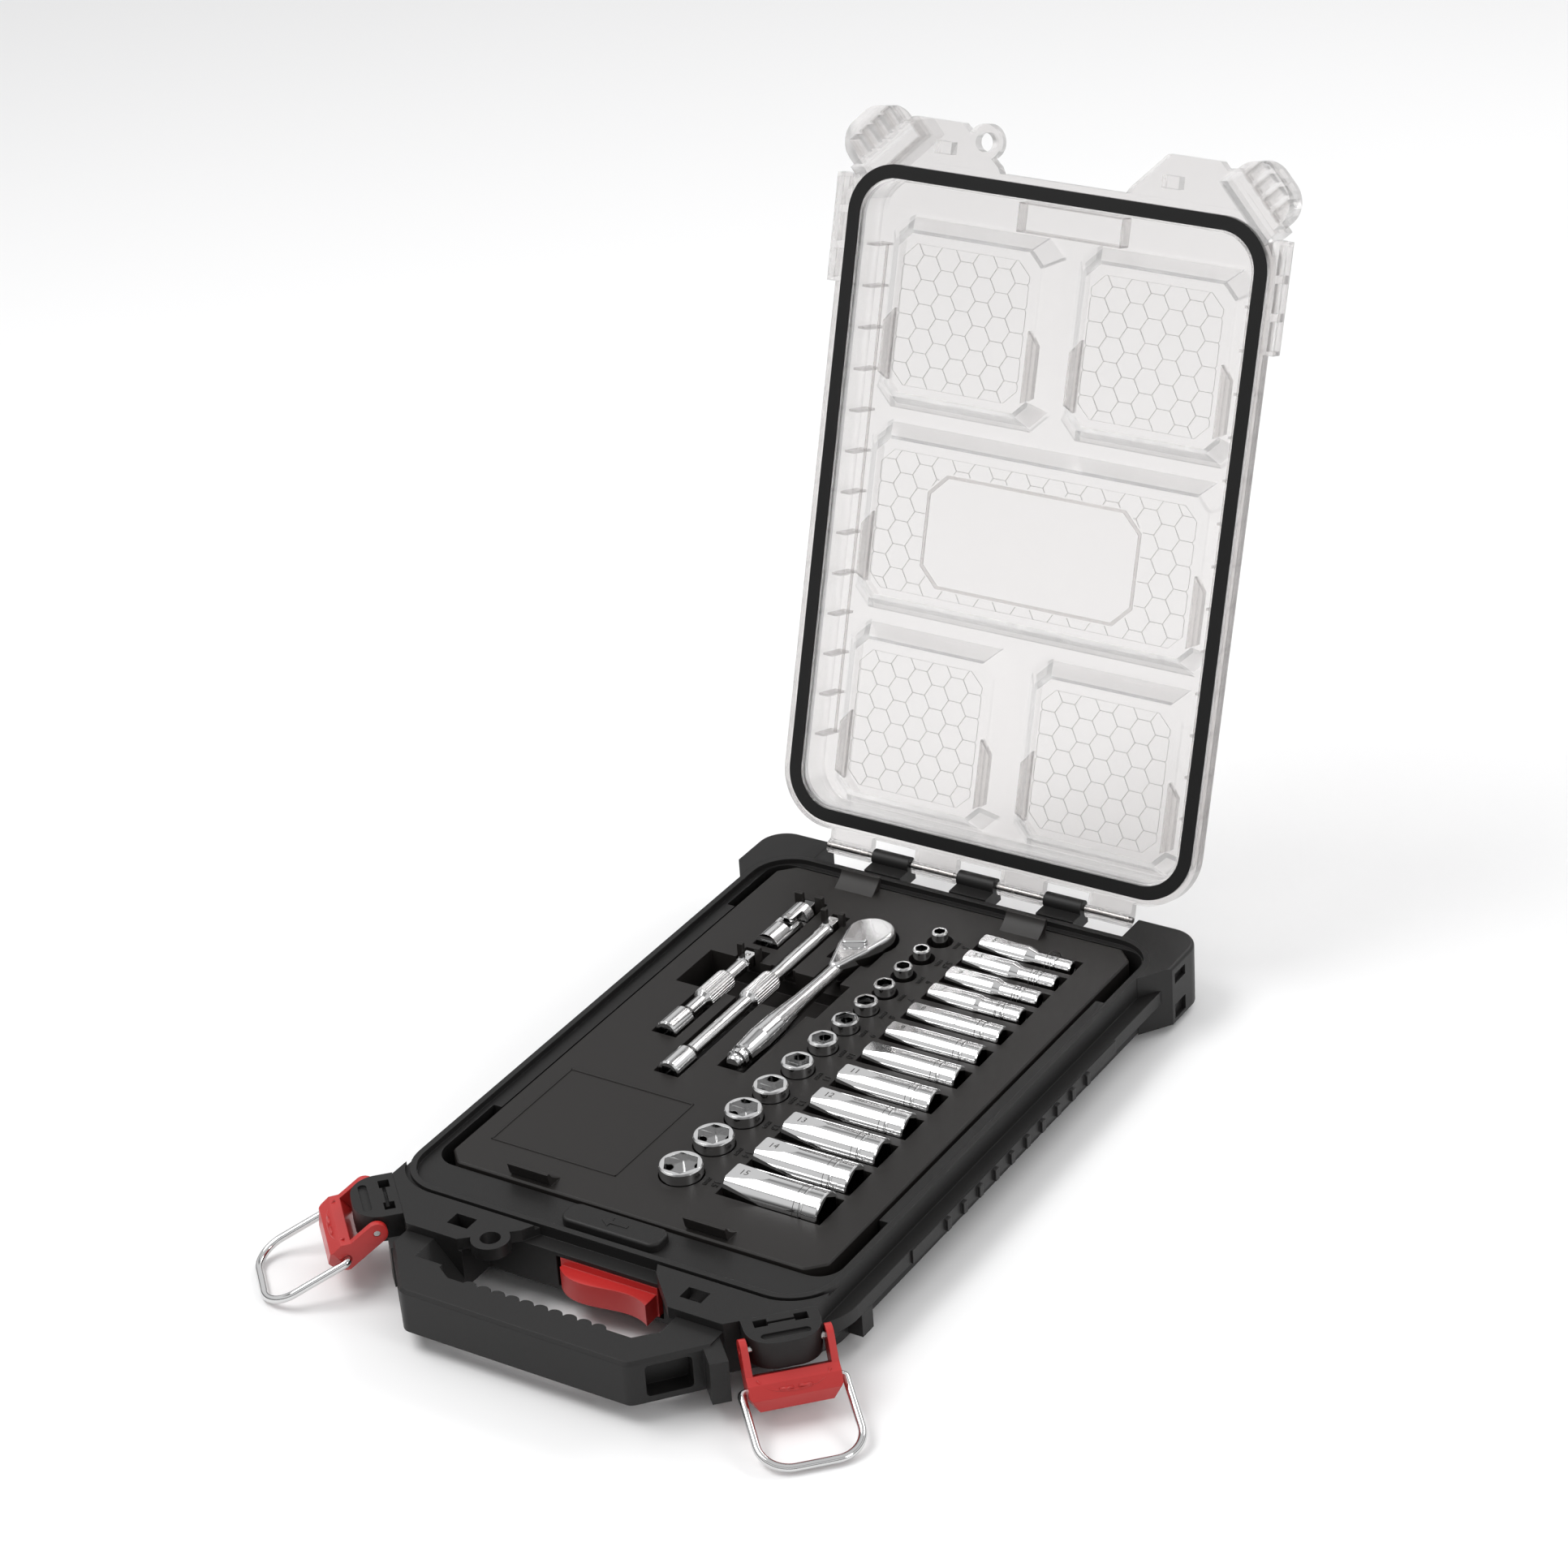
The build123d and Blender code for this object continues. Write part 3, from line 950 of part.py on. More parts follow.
for size, shallow_y, deep_y in SOCKETS:
    od, seat_d = outer_d(size), deep_d(size)
    across = size + NUT_SLACK

    # shallow socket, standing with its hexagon up
    x, foot_z = shallow_x(size), SHALLOW_TOP - SHALLOW_LONG
    with BuildPart() as shallow:
        with BuildSketch(Plane(origin=(x, shallow_y, 0), x_dir=(1, 0, 0), z_dir=(0, -1, 0))):
            with BuildLine():
                Polyline(
                    (0, foot_z), (seat_d / 2 - 0.6, foot_z), (seat_d / 2, foot_z + 0.6),
                    (seat_d / 2, foot_z + 10.5), (od / 2, foot_z + 10.5 + max(seat_d - od, 0.4)),
                    (od / 2, SHALLOW_TOP - 0.7), (od / 2 - 0.6, SHALLOW_TOP), (0, SHALLOW_TOP),
                    close=True,
                )  # fmt: skip
            make_face()
        revolve(axis=Axis((x, shallow_y, 0), (0, 0, 1)))
        with BuildSketch(Plane.XY.offset(SHALLOW_TOP)):
            with Locations((x, shallow_y)):
                RegularPolygon(across / 2, 6, major_radius=False)
        extrude(amount=-NUT_DEEP, mode=Mode.SUBTRACT)
        with BuildSketch(Plane.XY.offset(foot_z)):
            with Locations((x, shallow_y)):
                Rectangle(DRIVE + 2 * DRIVE_SLACK, DRIVE + 2 * DRIVE_SLACK)
        extrude(amount=DRIVE_DEEP, mode=Mode.SUBTRACT)
        with BuildSketch(Plane.XY.offset(foot_z)):
            with Locations((x, shallow_y)):
                Circle(min(across, DRIVE) / 2 - 0.3)
        extrude(amount=SHALLOW_LONG, mode=Mode.SUBTRACT)
    keep(f"socket_shallow_{socket_name(size)}mm", shallow.part)

    # deep socket, lying with its drive end to the left and four flats that run out
    x0 = (DEEP_X0 + DEEP_X1 - DEEP_LONG) / 2
    x1 = x0 + DEEP_LONG
    z = deep_z(size)
    necked = od < DRIVE_OD
    neck_x = x0 + NECK_AT * DEEP_LONG
    with BuildPart() as deep:
        with BuildSketch(Plane(origin=(0, deep_y, z), x_dir=(1, 0, 0), z_dir=(0, -1, 0))):
            with BuildLine():
                Polyline(
                    (x0, 0), (x0, seat_d / 2 - 0.6), (x0 + 0.6, seat_d / 2),
                    (neck_x, seat_d / 2), (neck_x + 1 + (seat_d - od if necked else 0), od / 2),
                    (x1 - 9, od / 2), (x1 - 8.7, od / 2 - 0.3), (x1 - 8, od / 2 - 0.3),
                    (x1 - 7.7, od / 2), (x1 - 0.6, od / 2), (x1, od / 2 - 0.6), (x1, 0),
                    close=True,
                )  # fmt: skip
            make_face()
        revolve(axis=Axis((0, deep_y, z), (1, 0, 0)))
        add(running_flats(x0, neck_x, x1, deep_y, z, seat_d), mode=Mode.INTERSECT)
        with BuildSketch(Plane.YZ.offset(x1)):
            with Locations((deep_y, z)):
                RegularPolygon(across / 2, 6, major_radius=False, rotation=30)
        extrude(amount=-DEEP_BORE, mode=Mode.SUBTRACT)
        with BuildSketch(Plane.YZ.offset(x0)):
            with Locations((deep_y, z)):
                Rectangle(DRIVE + 2 * DRIVE_SLACK, DRIVE + 2 * DRIVE_SLACK)
        extrude(amount=DRIVE_DEEP, mode=Mode.SUBTRACT)
        with BuildSketch(Plane.YZ.offset(x0)):
            with Locations((deep_y, z)):
                Circle(min(across, DRIVE) / 2 - 0.3)
        extrude(amount=DEEP_LONG, mode=Mode.SUBTRACT)
    keep(f"socket_deep_{socket_name(size)}mm", deep.part)
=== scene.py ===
"""Looks for a socket set in its low-profile case, laid out as an add-on.

The case stands open. Every piece is in metres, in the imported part's own frame.
"""

import json
from math import cos, pi, radians, sin

import bmesh
import bpy
from bpy.props import FloatProperty, FloatVectorProperty, IntProperty, PointerProperty
from mathutils import Matrix, Vector


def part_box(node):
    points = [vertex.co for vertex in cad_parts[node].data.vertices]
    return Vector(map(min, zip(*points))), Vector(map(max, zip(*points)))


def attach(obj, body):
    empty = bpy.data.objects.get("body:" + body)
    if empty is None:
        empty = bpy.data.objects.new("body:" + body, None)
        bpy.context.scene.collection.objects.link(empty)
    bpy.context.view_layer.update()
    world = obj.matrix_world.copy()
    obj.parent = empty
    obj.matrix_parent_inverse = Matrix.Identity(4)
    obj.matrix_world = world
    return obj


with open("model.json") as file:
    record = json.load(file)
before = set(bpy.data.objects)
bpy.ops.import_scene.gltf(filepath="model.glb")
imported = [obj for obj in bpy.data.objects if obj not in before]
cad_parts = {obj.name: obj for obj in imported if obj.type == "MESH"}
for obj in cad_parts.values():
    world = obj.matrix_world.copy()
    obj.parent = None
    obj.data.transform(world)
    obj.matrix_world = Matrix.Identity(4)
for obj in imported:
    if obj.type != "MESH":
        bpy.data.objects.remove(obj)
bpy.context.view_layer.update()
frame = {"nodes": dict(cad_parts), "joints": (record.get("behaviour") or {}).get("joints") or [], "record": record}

bl_info = {
    "name": "Socket set in case",
    "version": (1, 0, 0),
    "blender": (4, 5, 0),
    "location": "3D View > Sidebar > Socket set",
    "description": "Adds finishes, lid pattern, size marks, knurls and a studio to the case",
    "category": "Object",
}

MM = 0.001
NODES = frame["nodes"]
JOINTS = {joint["name"]: joint for joint in frame["joints"]}
HINGE = Vector(JOINTS["lid_hinge"]["pos_m"])
LID_OPEN = radians(-JOINTS["lid_hinge"]["range_deg"][0])
# The lid is drawn as if it were shut, then turned about its hinge.
LID = (
    Matrix.Translation(HINGE)
    @ Matrix.Rotation(-LID_OPEN, 4, "X")
    @ Matrix.Translation(-HINGE)
)
SIZES = ("15", "14", "13", "12", "11", "10", "9", "8", "7", "6", "5_5", "5")


# ---- Mesh and object helpers ----------------------------------------------------------


def add_piece(name, mesh, material, body, smooth=False):
    """Turns a mesh into a piece that rides on a body."""
    mesh.materials.append(material)
    for face in mesh.polygons:
        face.use_smooth = smooth
    piece = bpy.data.objects.new(name, mesh)
    bpy.context.scene.collection.objects.link(piece)
    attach(piece, body)
    return piece


def to_mesh(name, shape, matrix=None):
    """Closes an edit mesh and gives it its place."""
    bmesh.ops.recalc_face_normals(shape, faces=shape.faces)
    mesh = bpy.data.meshes.new(name)
    shape.to_mesh(mesh)
    shape.free()
    if matrix is not None:
        mesh.transform(matrix)
    return mesh


def add_block(shape, low, high, bevel=0.0):
    """A box between two corners, in millimetres, with its edges taken off."""
    made = bmesh.ops.create_cube(shape, size=1.0)
    middle = [(a + b) / 2 * MM for a, b in zip(low, high)]
    extent = [abs(b - a) * MM for a, b in zip(low, high)]
    bmesh.ops.scale(shape, vec=extent, verts=made["verts"])
    bmesh.ops.translate(shape, vec=middle, verts=made["verts"])
    if bevel:
        edges = {edge for vert in made["verts"] for edge in vert.link_edges}
        bmesh.ops.bevel(
            shape, geom=list(edges), offset=bevel * MM, segments=2, profile=0.7,
            affect="EDGES",
        )


def add_prism(shape, outline, low, high):
    """An upright prism over a flat outline, in millimetres."""
    bottom = [shape.verts.new((x * MM, y * MM, low * MM)) for x, y in outline]
    top = [shape.verts.new((x * MM, y * MM, high * MM)) for x, y in outline]
    shape.faces.new(bottom[::-1])
    shape.faces.new(top)
    count = len(outline)
    for n in range(count):
        following = (n + 1) % count
        shape.faces.new((bottom[n], bottom[following], top[following], top[n]))


def add_tube(shape, path, radius, sides=10):
    """A round bar along points in millimetres, with flat ends."""
    rings = []
    for n, point in enumerate(path):
        ahead = Vector(path[min(n + 1, len(path) - 1)])
        behind = Vector(path[max(n - 1, 0)])
        run = (ahead - behind).normalized()
        across = run.orthogonal() if n == 0 else rings_across - run * rings_across.dot(run)
        rings_across = across.normalized()
        side = run.cross(rings_across)
        ring = []
        for k in range(sides):
            turn = 2 * pi * k / sides
            spoke = rings_across * cos(turn) + side * sin(turn)
            ring.append(shape.verts.new((Vector(point) + spoke * radius) * MM))
        rings.append(ring)
    for first, second in zip(rings, rings[1:]):
        for k in range(sides):
            following = (k + 1) % sides
            shape.faces.new((first[k], first[following], second[following], second[k]))
    shape.faces.new(rings[0][::-1])
    shape.faces.new(rings[-1])


def text_mesh(name, words, height, depth, matrix):
    """Raised figures: height is the type size and depth how far they stand up."""
    curve = bpy.data.curves.new(name, "FONT")
    curve.body = words
    curve.size = height
    curve.align_x = "CENTER"
    curve.align_y = "CENTER"
    curve.extrude = depth / 2
    curve.resolution_u = 3
    holder = bpy.data.objects.new(name, curve)
    mesh = bpy.data.meshes.new_from_object(holder)
    bpy.data.objects.remove(holder)
    bpy.data.curves.remove(curve)
    mesh.transform(matrix @ Matrix.Translation((0, 0, depth / 2)))
    mesh.materials.clear()
    return mesh


def join_meshes(name, meshes):
    """One mesh from several."""
    shape = bmesh.new()
    for mesh in meshes:
        shape.from_mesh(mesh)
        bpy.data.meshes.remove(mesh)
    mesh = bpy.data.meshes.new(name)
    shape.to_mesh(mesh)
    shape.free()
    return mesh


def box_mm(node):
    """A CAD node's lowest and highest corners, in millimetres."""
    low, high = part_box(node)
    return [v / MM for v in low], [v / MM for v in high]


# ---- Shader node groups -----------------------------------------------------------------


def new_group(name, inputs, outputs):
    """An empty shader node group with named sockets; inputs carry their defaults."""
    tree = bpy.data.node_groups.new(name, "ShaderNodeTree")
    for label, default in inputs:
        socket = tree.interface.new_socket(label, in_out="INPUT", socket_type="NodeSocketFloat")
        socket.default_value = default
    for label, kind in outputs:
        tree.interface.new_socket(label, in_out="OUTPUT", socket_type=kind)
    return tree, tree.nodes.new("NodeGroupInput"), tree.nodes.new("NodeGroupOutput")


def maths(tree, operation, first, second):
    """One sum of two sockets or numbers."""
    step = tree.nodes.new("ShaderNodeMath")
    step.operation = operation
    for socket, value in zip(step.inputs, (first, second)):
        if isinstance(value, (int, float)):
            socket.default_value = value
        else:
            tree.links.new(value, socket)
    return step.outputs[0]


def noise(tree, place, scale, detail=2.0):
    """Smooth noise over the piece, from 0 to 1."""
    texture = tree.nodes.new("ShaderNodeTexNoise")
    texture.inputs["Detail"].default_value = detail
    tree.links.new(place, texture.inputs["Vector"])
    if isinstance(scale, (int, float)):
        texture.inputs["Scale"].default_value = scale
    else:
        tree.links.new(scale, texture.inputs["Scale"])
    return texture.outputs[0]


def grain_group():
    """Moulded grain: fine pits, broad patches and the roughness that follows them."""
    tree, given, result = new_group(
        "Moulded grain",
        [("Grain per Metre", 1800.0), ("Patches per Metre", 22.0),
         ("Roughness", 0.45), ("Spread", 0.12)],
        [("Height", "NodeSocketFloat"), ("Roughness", "NodeSocketFloat"),
         ("Patch", "NodeSocketFloat")],
    )
    place = tree.nodes.new("ShaderNodeTexCoord").outputs["Object"]
    pits = tree.nodes.new("ShaderNodeTexVoronoi")
    tree.links.new(place, pits.inputs["Vector"])
    tree.links.new(given.outputs["Grain per Metre"], pits.inputs["Scale"])
    fine = noise(tree, place, given.outputs["Grain per Metre"])
    patch = noise(tree, place, given.outputs["Patches per Metre"], 4.0)
    height = maths(tree, "MULTIPLY", pits.outputs["Distance"], 0.6)
    height = maths(tree, "ADD", height, maths(tree, "MULTIPLY", fine, 0.4))
    swing = maths(tree, "SUBTRACT", patch, 0.5)
    swing = maths(tree, "MULTIPLY", swing, given.outputs["Spread"])
    rough = maths(tree, "ADD", given.outputs["Roughness"], swing)
    tree.links.new(height, result.inputs["Height"])
    tree.links.new(rough, result.inputs["Roughness"])
    tree.links.new(patch, result.inputs["Patch"])
    return tree


def edge_group():
    """Edge rounding and painted highlight: a softly rounded normal, and a mask of painted highlight that is 1
    along edges.
    """
    tree, given, result = new_group(
        "Edge rounding and painted highlight",
        [("Radius", 0.0005), ("Amount", 1.0)],
        [("Normal", "NodeSocketVector"), ("Painted Highlight", "NodeSocketFloat")],
    )
    rounding = tree.nodes.new("ShaderNodeBevel")
    rounding.samples = 4
    tree.links.new(given.outputs["Radius"], rounding.inputs["Radius"])
    plain = tree.nodes.new("ShaderNodeNewGeometry")
    compare = tree.nodes.new("ShaderNodeVectorMath")
    compare.operation = "DOT_PRODUCT"
    tree.links.new(rounding.outputs[0], compare.inputs[0])
    tree.links.new(plain.outputs["Normal"], compare.inputs[1])
    # Painted highlight: edges are found where the rounded normal turns away from the true one, then broken up by
    # noise.
    gap = maths(tree, "SUBTRACT", 1.0, compare.outputs["Value"])
    highlight_mask = maths(tree, "MULTIPLY", gap, 4.0)
    place = tree.nodes.new("ShaderNodeTexCoord").outputs["Object"]
    highlight_mask = maths(tree, "MULTIPLY", highlight_mask, noise(tree, place, 130.0, 3.0))
    highlight_mask = maths(tree, "MULTIPLY", highlight_mask, given.outputs["Amount"])
    highlight_mask = maths(tree, "MINIMUM", highlight_mask, 1.0)
    tree.links.new(rounding.outputs[0], result.inputs["Normal"])
    tree.links.new(highlight_mask, result.inputs["Painted Highlight"])
    return tree


def scratch_group():
    """Fine scratches: hair lines and a faint haze from handling."""
    tree, given, result = new_group(
        "Fine scratches",
        [("Roughness", 0.1), ("Haze", 0.1)],
        [("Height", "NodeSocketFloat"), ("Roughness", "NodeSocketFloat")],
    )
    place = tree.nodes.new("ShaderNodeTexCoord").outputs["Object"]
    stretch = tree.nodes.new("ShaderNodeMapping")
    stretch.inputs["Scale"].default_value = (400, 4000, 4000)
    stretch.inputs["Rotation"].default_value = (0.2, 0.4, 0.6)
    tree.links.new(place, stretch.inputs["Vector"])
    lines = noise(tree, stretch.outputs[0], 1.0, 3.0)
    haze = noise(tree, place, 90.0, 5.0)
    rough = maths(tree, "MULTIPLY", maths(tree, "SUBTRACT", haze, 0.35), given.outputs["Haze"])
    rough = maths(tree, "ADD", maths(tree, "MAXIMUM", rough, 0.0), given.outputs["Roughness"])
    tree.links.new(lines, result.inputs["Height"])
    tree.links.new(rough, result.inputs["Roughness"])
    return tree


GROUPS = {}


def use_group(tree, name, **values):
    """Places a shared effect in a material with its own values."""
    if name not in GROUPS:
        makers = {"grain": grain_group, "edges": edge_group, "scratches": scratch_group}
        GROUPS[name] = makers[name]()
    place = tree.nodes.new("ShaderNodeGroup")
    place.node_tree = GROUPS[name]
    for label, value in values.items():
        place.inputs[label.replace("_", " ")].default_value = value
    return place


# ---- Materials ------------------------------------------------------------------------------


def blank(name):
    """A new material with its Principled shader."""
    material = bpy.data.materials.new(name)
    material.use_nodes = True
    return material, material.node_tree, material.node_tree.nodes["Principled BSDF"]


def bumped(tree, height, normal, strength, distance):
    """Bump over the rounded edges."""
    bump = tree.nodes.new("ShaderNodeBump")
    bump.inputs["Strength"].default_value = strength
    bump.inputs["Distance"].default_value = distance
    tree.links.new(height, bump.inputs["Height"])
    if normal is not None:
        tree.links.new(normal, bump.inputs["Normal"])
    return bump.outputs[0]


def blend_colours(tree, first, second, amount):
    """Two colours mixed by a mask."""
    mix = tree.nodes.new("ShaderNodeMix")
    mix.data_type = "RGBA"
    colour_inputs = [s for s in mix.inputs if s.type == "RGBA"]
    for socket, colour in zip(colour_inputs, (first, second)):
        if isinstance(colour, (tuple, list)):
            socket.default_value = (*colour, 1.0)
        else:
            tree.links.new(colour, socket)
    tree.links.new(amount, mix.inputs["Factor"])
    return [s for s in mix.outputs if s.type == "RGBA"][0]


def plastic(name, colour, rough, spread, grain, depth, lift=1.7, edge=0.0005, coat=0.0, shine=0.3):
    """Moulded plastic: fine grain, uneven sheen and slightly paler edges, which are a painted highlight."""
    material, tree, shader = blank(name)
    surface = use_group(
        tree, "grain", Grain_per_Metre=grain, Patches_per_Metre=18.0,
        Roughness=rough, Spread=spread,
    )
    edges = use_group(tree, "edges", Radius=edge, Amount=0.7)
    # Edges are painted paler by the edge mask: a painted highlight along every edge.
    paler = tuple(min(1.0, c * lift + 0.01) for c in colour)
    deeper = tuple(c * 0.86 for c in colour)
    patchy = blend_colours(tree, deeper, tuple(c * 1.12 for c in colour), surface.outputs["Patch"])
    tree.links.new(
        blend_colours(tree, patchy, paler, edges.outputs["Painted Highlight"]), shader.inputs["Base Color"]
    )
    tree.links.new(surface.outputs["Roughness"], shader.inputs["Roughness"])
    tree.links.new(
        bumped(tree, surface.outputs["Height"], edges.outputs["Normal"], 0.5, depth),
        shader.inputs["Normal"],
    )
    shader.inputs["Coat Weight"].default_value = coat
    shader.inputs["Coat Roughness"].default_value = 0.18
    shader.inputs["IOR"].default_value = 1.5
    shader.inputs["Specular IOR Level"].default_value = shine
    return material


def metal(name, colour, rough, haze, depth, edge=0.00025, smudge=0.9):
    """Plated or bright steel: hair scratches, faint haze and rounded edges."""
    material, tree, shader = blank(name)
    surface = use_group(tree, "scratches", Roughness=rough, Haze=haze)
    edges = use_group(tree, "edges", Radius=edge, Amount=0.0)
    dull = tuple(c * smudge for c in colour)
    place = tree.nodes.new("ShaderNodeTexCoord").outputs["Object"]
    tree.links.new(
        blend_colours(tree, colour, dull, noise(tree, place, 60.0, 3.0)),
        shader.inputs["Base Color"],
    )
    tree.links.new(surface.outputs["Roughness"], shader.inputs["Roughness"])
    tree.links.new(
        bumped(tree, surface.outputs["Height"], edges.outputs["Normal"], 0.04, depth),
        shader.inputs["Normal"],
    )
    shader.inputs["Metallic"].default_value = 1.0
    return material


def clear(name, colour, rough=0.02, alpha=0.62):
    """Clear polycarbonate with hair scratches."""
    material, tree, shader = blank(name)
    surface = use_group(tree, "scratches", Roughness=rough, Haze=0.08)
    shader.inputs["Base Color"].default_value = (*colour, 1.0)
    tree.links.new(surface.outputs["Roughness"], shader.inputs["Roughness"])
    tree.links.new(
        bumped(tree, surface.outputs["Height"], None, 0.05, 0.00002), shader.inputs["Normal"]
    )
    shader.inputs["Transmission Weight"].default_value = 1.0
    shader.inputs["IOR"].default_value = 1.46
    shader.inputs["Alpha"].default_value = alpha
    return material


MATERIALS = {}


def finish(name):
    """The material for one of the set's finishes, made once from the panel's colours."""
    if name in MATERIALS:
        return MATERIALS[name]
    looks = bpy.context.scene.case_finishes
    if name == "black_plastic":
        made = plastic("Moulded black", tuple(looks.case_black), 0.46, 0.16, 2100, 0.0001)
    elif name == "tray_plastic":
        made = plastic("Tray black", tuple(looks.tray_black), 0.42, 0.14, 2600, 0.00006)
    elif name == "red_plastic":
        made = plastic(
            "Latch red", tuple(looks.latch_red), 0.36, 0.12, 2600, 0.00004, 1.25, 0.0007, 0.3, 0.4
        )
    elif name == "seal_rubber":
        made = plastic("Seal rubber", (0.006, 0.006, 0.006), 0.5, 0.2, 1500, 0.00006)
    elif name == "tray_mark":
        made = plastic("Tray figures", (0.006, 0.0055, 0.005), 0.3, 0.1, 2600, 0.00003)
    elif name == "clear_plastic":
        made = clear("Clear lid", tuple(looks.lid_tint))
    elif name == "clear_line":
        made = clear("Moulded line", (0.6, 0.585, 0.575), 0.3, 0.7)
    elif name == "chrome":
        made = metal("Polished chrome", tuple(looks.chrome), 0.05, 0.08, 0.000002)
    elif name == "steel":
        made = metal("Bright steel", (0.52, 0.51, 0.5), 0.24, 0.2, 0.00001)
    else:
        made = metal("Etched mark", (0.13, 0.128, 0.125), 0.4, 0.15, 0.00003)
    MATERIALS[name] = made
    return made


# ---- Settings shown in the panel --------------------------------------------------------------


class CaseFinishes(bpy.types.PropertyGroup):
    """Colours of the case and its tools."""

    case_black: FloatVectorProperty(
        name="Case black", description="Black of the case and its handle",
        subtype="COLOR", size=3, default=(0.0125, 0.0120, 0.0118), min=0.0, max=1.0,
    )
    tray_black: FloatVectorProperty(
        name="Tray black", description="Black of the tool tray",
        subtype="COLOR", size=3, default=(0.0165, 0.0148, 0.0138), min=0.0, max=1.0,
    )
    latch_red: FloatVectorProperty(
        name="Latch red", description="Red of the levers and the stack lock",
        subtype="COLOR", size=3, default=(0.47, 0.020, 0.018), min=0.0, max=1.0,
    )
    lid_tint: FloatVectorProperty(
        name="Lid tint", description="Tint of the clear lid",
        subtype="COLOR", size=3, default=(0.70, 0.675, 0.665), min=0.0, max=1.0,
    )
    chrome: FloatVectorProperty(
        name="Chrome", description="Colour of the plated tools",
        subtype="COLOR", size=3, default=(0.70, 0.70, 0.70), min=0.0, max=1.0,
    )


class LidPattern(bpy.types.PropertyGroup):
    """Raised lines on the floors of the lid's stacking pockets."""

    across: FloatProperty(
        name="Cell across", description="Width of one cell from corner to corner",
        subtype="DISTANCE", default=0.014, min=0.004, max=0.04,
    )
    line_width: FloatProperty(
        name="Line width", description="Width of a raised line",
        subtype="DISTANCE", default=0.00042, min=0.0003, max=0.003,
    )
    line_height: FloatProperty(
        name="Line height", description="Height of a raised line",
        subtype="DISTANCE", default=0.0004, min=0.0001, max=0.001,
    )


class SizeMarks(bpy.types.PropertyGroup):
    """Figures on the tray and on the deep sockets."""

    figure_height: FloatProperty(
        name="Figure height", description="Type size of the figures on the tray",
        subtype="DISTANCE", default=0.0050, min=0.002, max=0.01,
    )
    raise_by: FloatProperty(
        name="Raised by", description="How far the tray's figures stand up",
        subtype="DISTANCE", default=0.0004, min=0.0001, max=0.001,
    )


class KnurlSettings(bpy.types.PropertyGroup):
    """Straight knurls on the extension bars."""

    teeth: IntProperty(
        name="Teeth", description="Flutes around one knurl", default=26, min=12, max=60
    )
    depth: FloatProperty(
        name="Depth", description="Height of a flute",
        subtype="DISTANCE", default=0.00045, min=0.0001, max=0.001,
    )


class StudioSettings(bpy.types.PropertyGroup):
    """Camera and light."""

    lens: FloatProperty(name="Lens", description="Focal length in millimetres", default=95.7)
    key: FloatProperty(
        name="Key light", description="Power of the large softbox", unit="POWER",
        default=20.0, min=0.0,
    )
    surround: FloatProperty(
        name="Surround", description="Brightness of the room", default=0.86, min=0.0
    )


# ---- Operators: one for each group of like pieces ---------------------------------------------


class CASE_OT_finishes(bpy.types.Operator):
    """Gives every CAD node its finish"""

    bl_idname = "case.finishes"
    bl_label = "Finish the case and tools"

    def execute(self, context):
        slots = {row["node"]: row["material_slot"] for row in frame["record"]["subparts"]}
        for name, node in NODES.items():
            node.data.materials.clear()
            node.data.materials.append(finish(slots[name]))
        return {"FINISHED"}


POCKET_FLOOR_Z = 51.0
# Pocket floors on the shut lid: centre and half extents, in millimetres.
FLOOR_HALF_Y = 38.0
NARROW, WIDE = 38.25, 91.0
SIDE_X = 52.75
ROW_Y = (-94.0, 9.5, 113.0)
POCKET_FLOORS = (
    (-SIDE_X, ROW_Y[0], NARROW), (SIDE_X, ROW_Y[0], NARROW), (0.0, ROW_Y[1], WIDE),
    (-SIDE_X, ROW_Y[2], NARROW), (SIDE_X, ROW_Y[2], NARROW),
)
PLATE_X, PLATE_Y, PLATE_HALF_X, PLATE_HALF_Y = 0.0, 11.0, 60.0, 29.0
PLATE_CUT, PLATE_INNER_CUT, PLATE_FRAME = 10.0, 9.4, 1.6


def octagon(x, y, half_x, half_y, cut):
    """A rectangle's outline with its corners cut off."""
    corners = []
    for sx, sy in ((1, 1), (-1, 1), (-1, -1), (1, -1)):
        first = (x + sx * (half_x - cut), y + sy * half_y)
        second = (x + sx * half_x, y + sy * (half_y - cut))
        corners += [first, second] if sx * sy < 0 else [second, first]
    return corners


def edge_planes(outline):
    """A point and an outward direction for every side of a convex outline, in metres."""
    middle = Vector((sum(p[0] for p in outline), sum(p[1] for p in outline))) / len(outline)
    planes = []
    for first, second in zip(outline, outline[1:] + outline[:1]):
        run = Vector(second) - Vector(first)
        out = Vector((run.y, -run.x)).normalized()
        if out.dot(Vector(first) - middle) < 0:
            out = -out
        planes.append((Vector((*first, 0)) * MM, Vector((*out, 0))))
    return planes


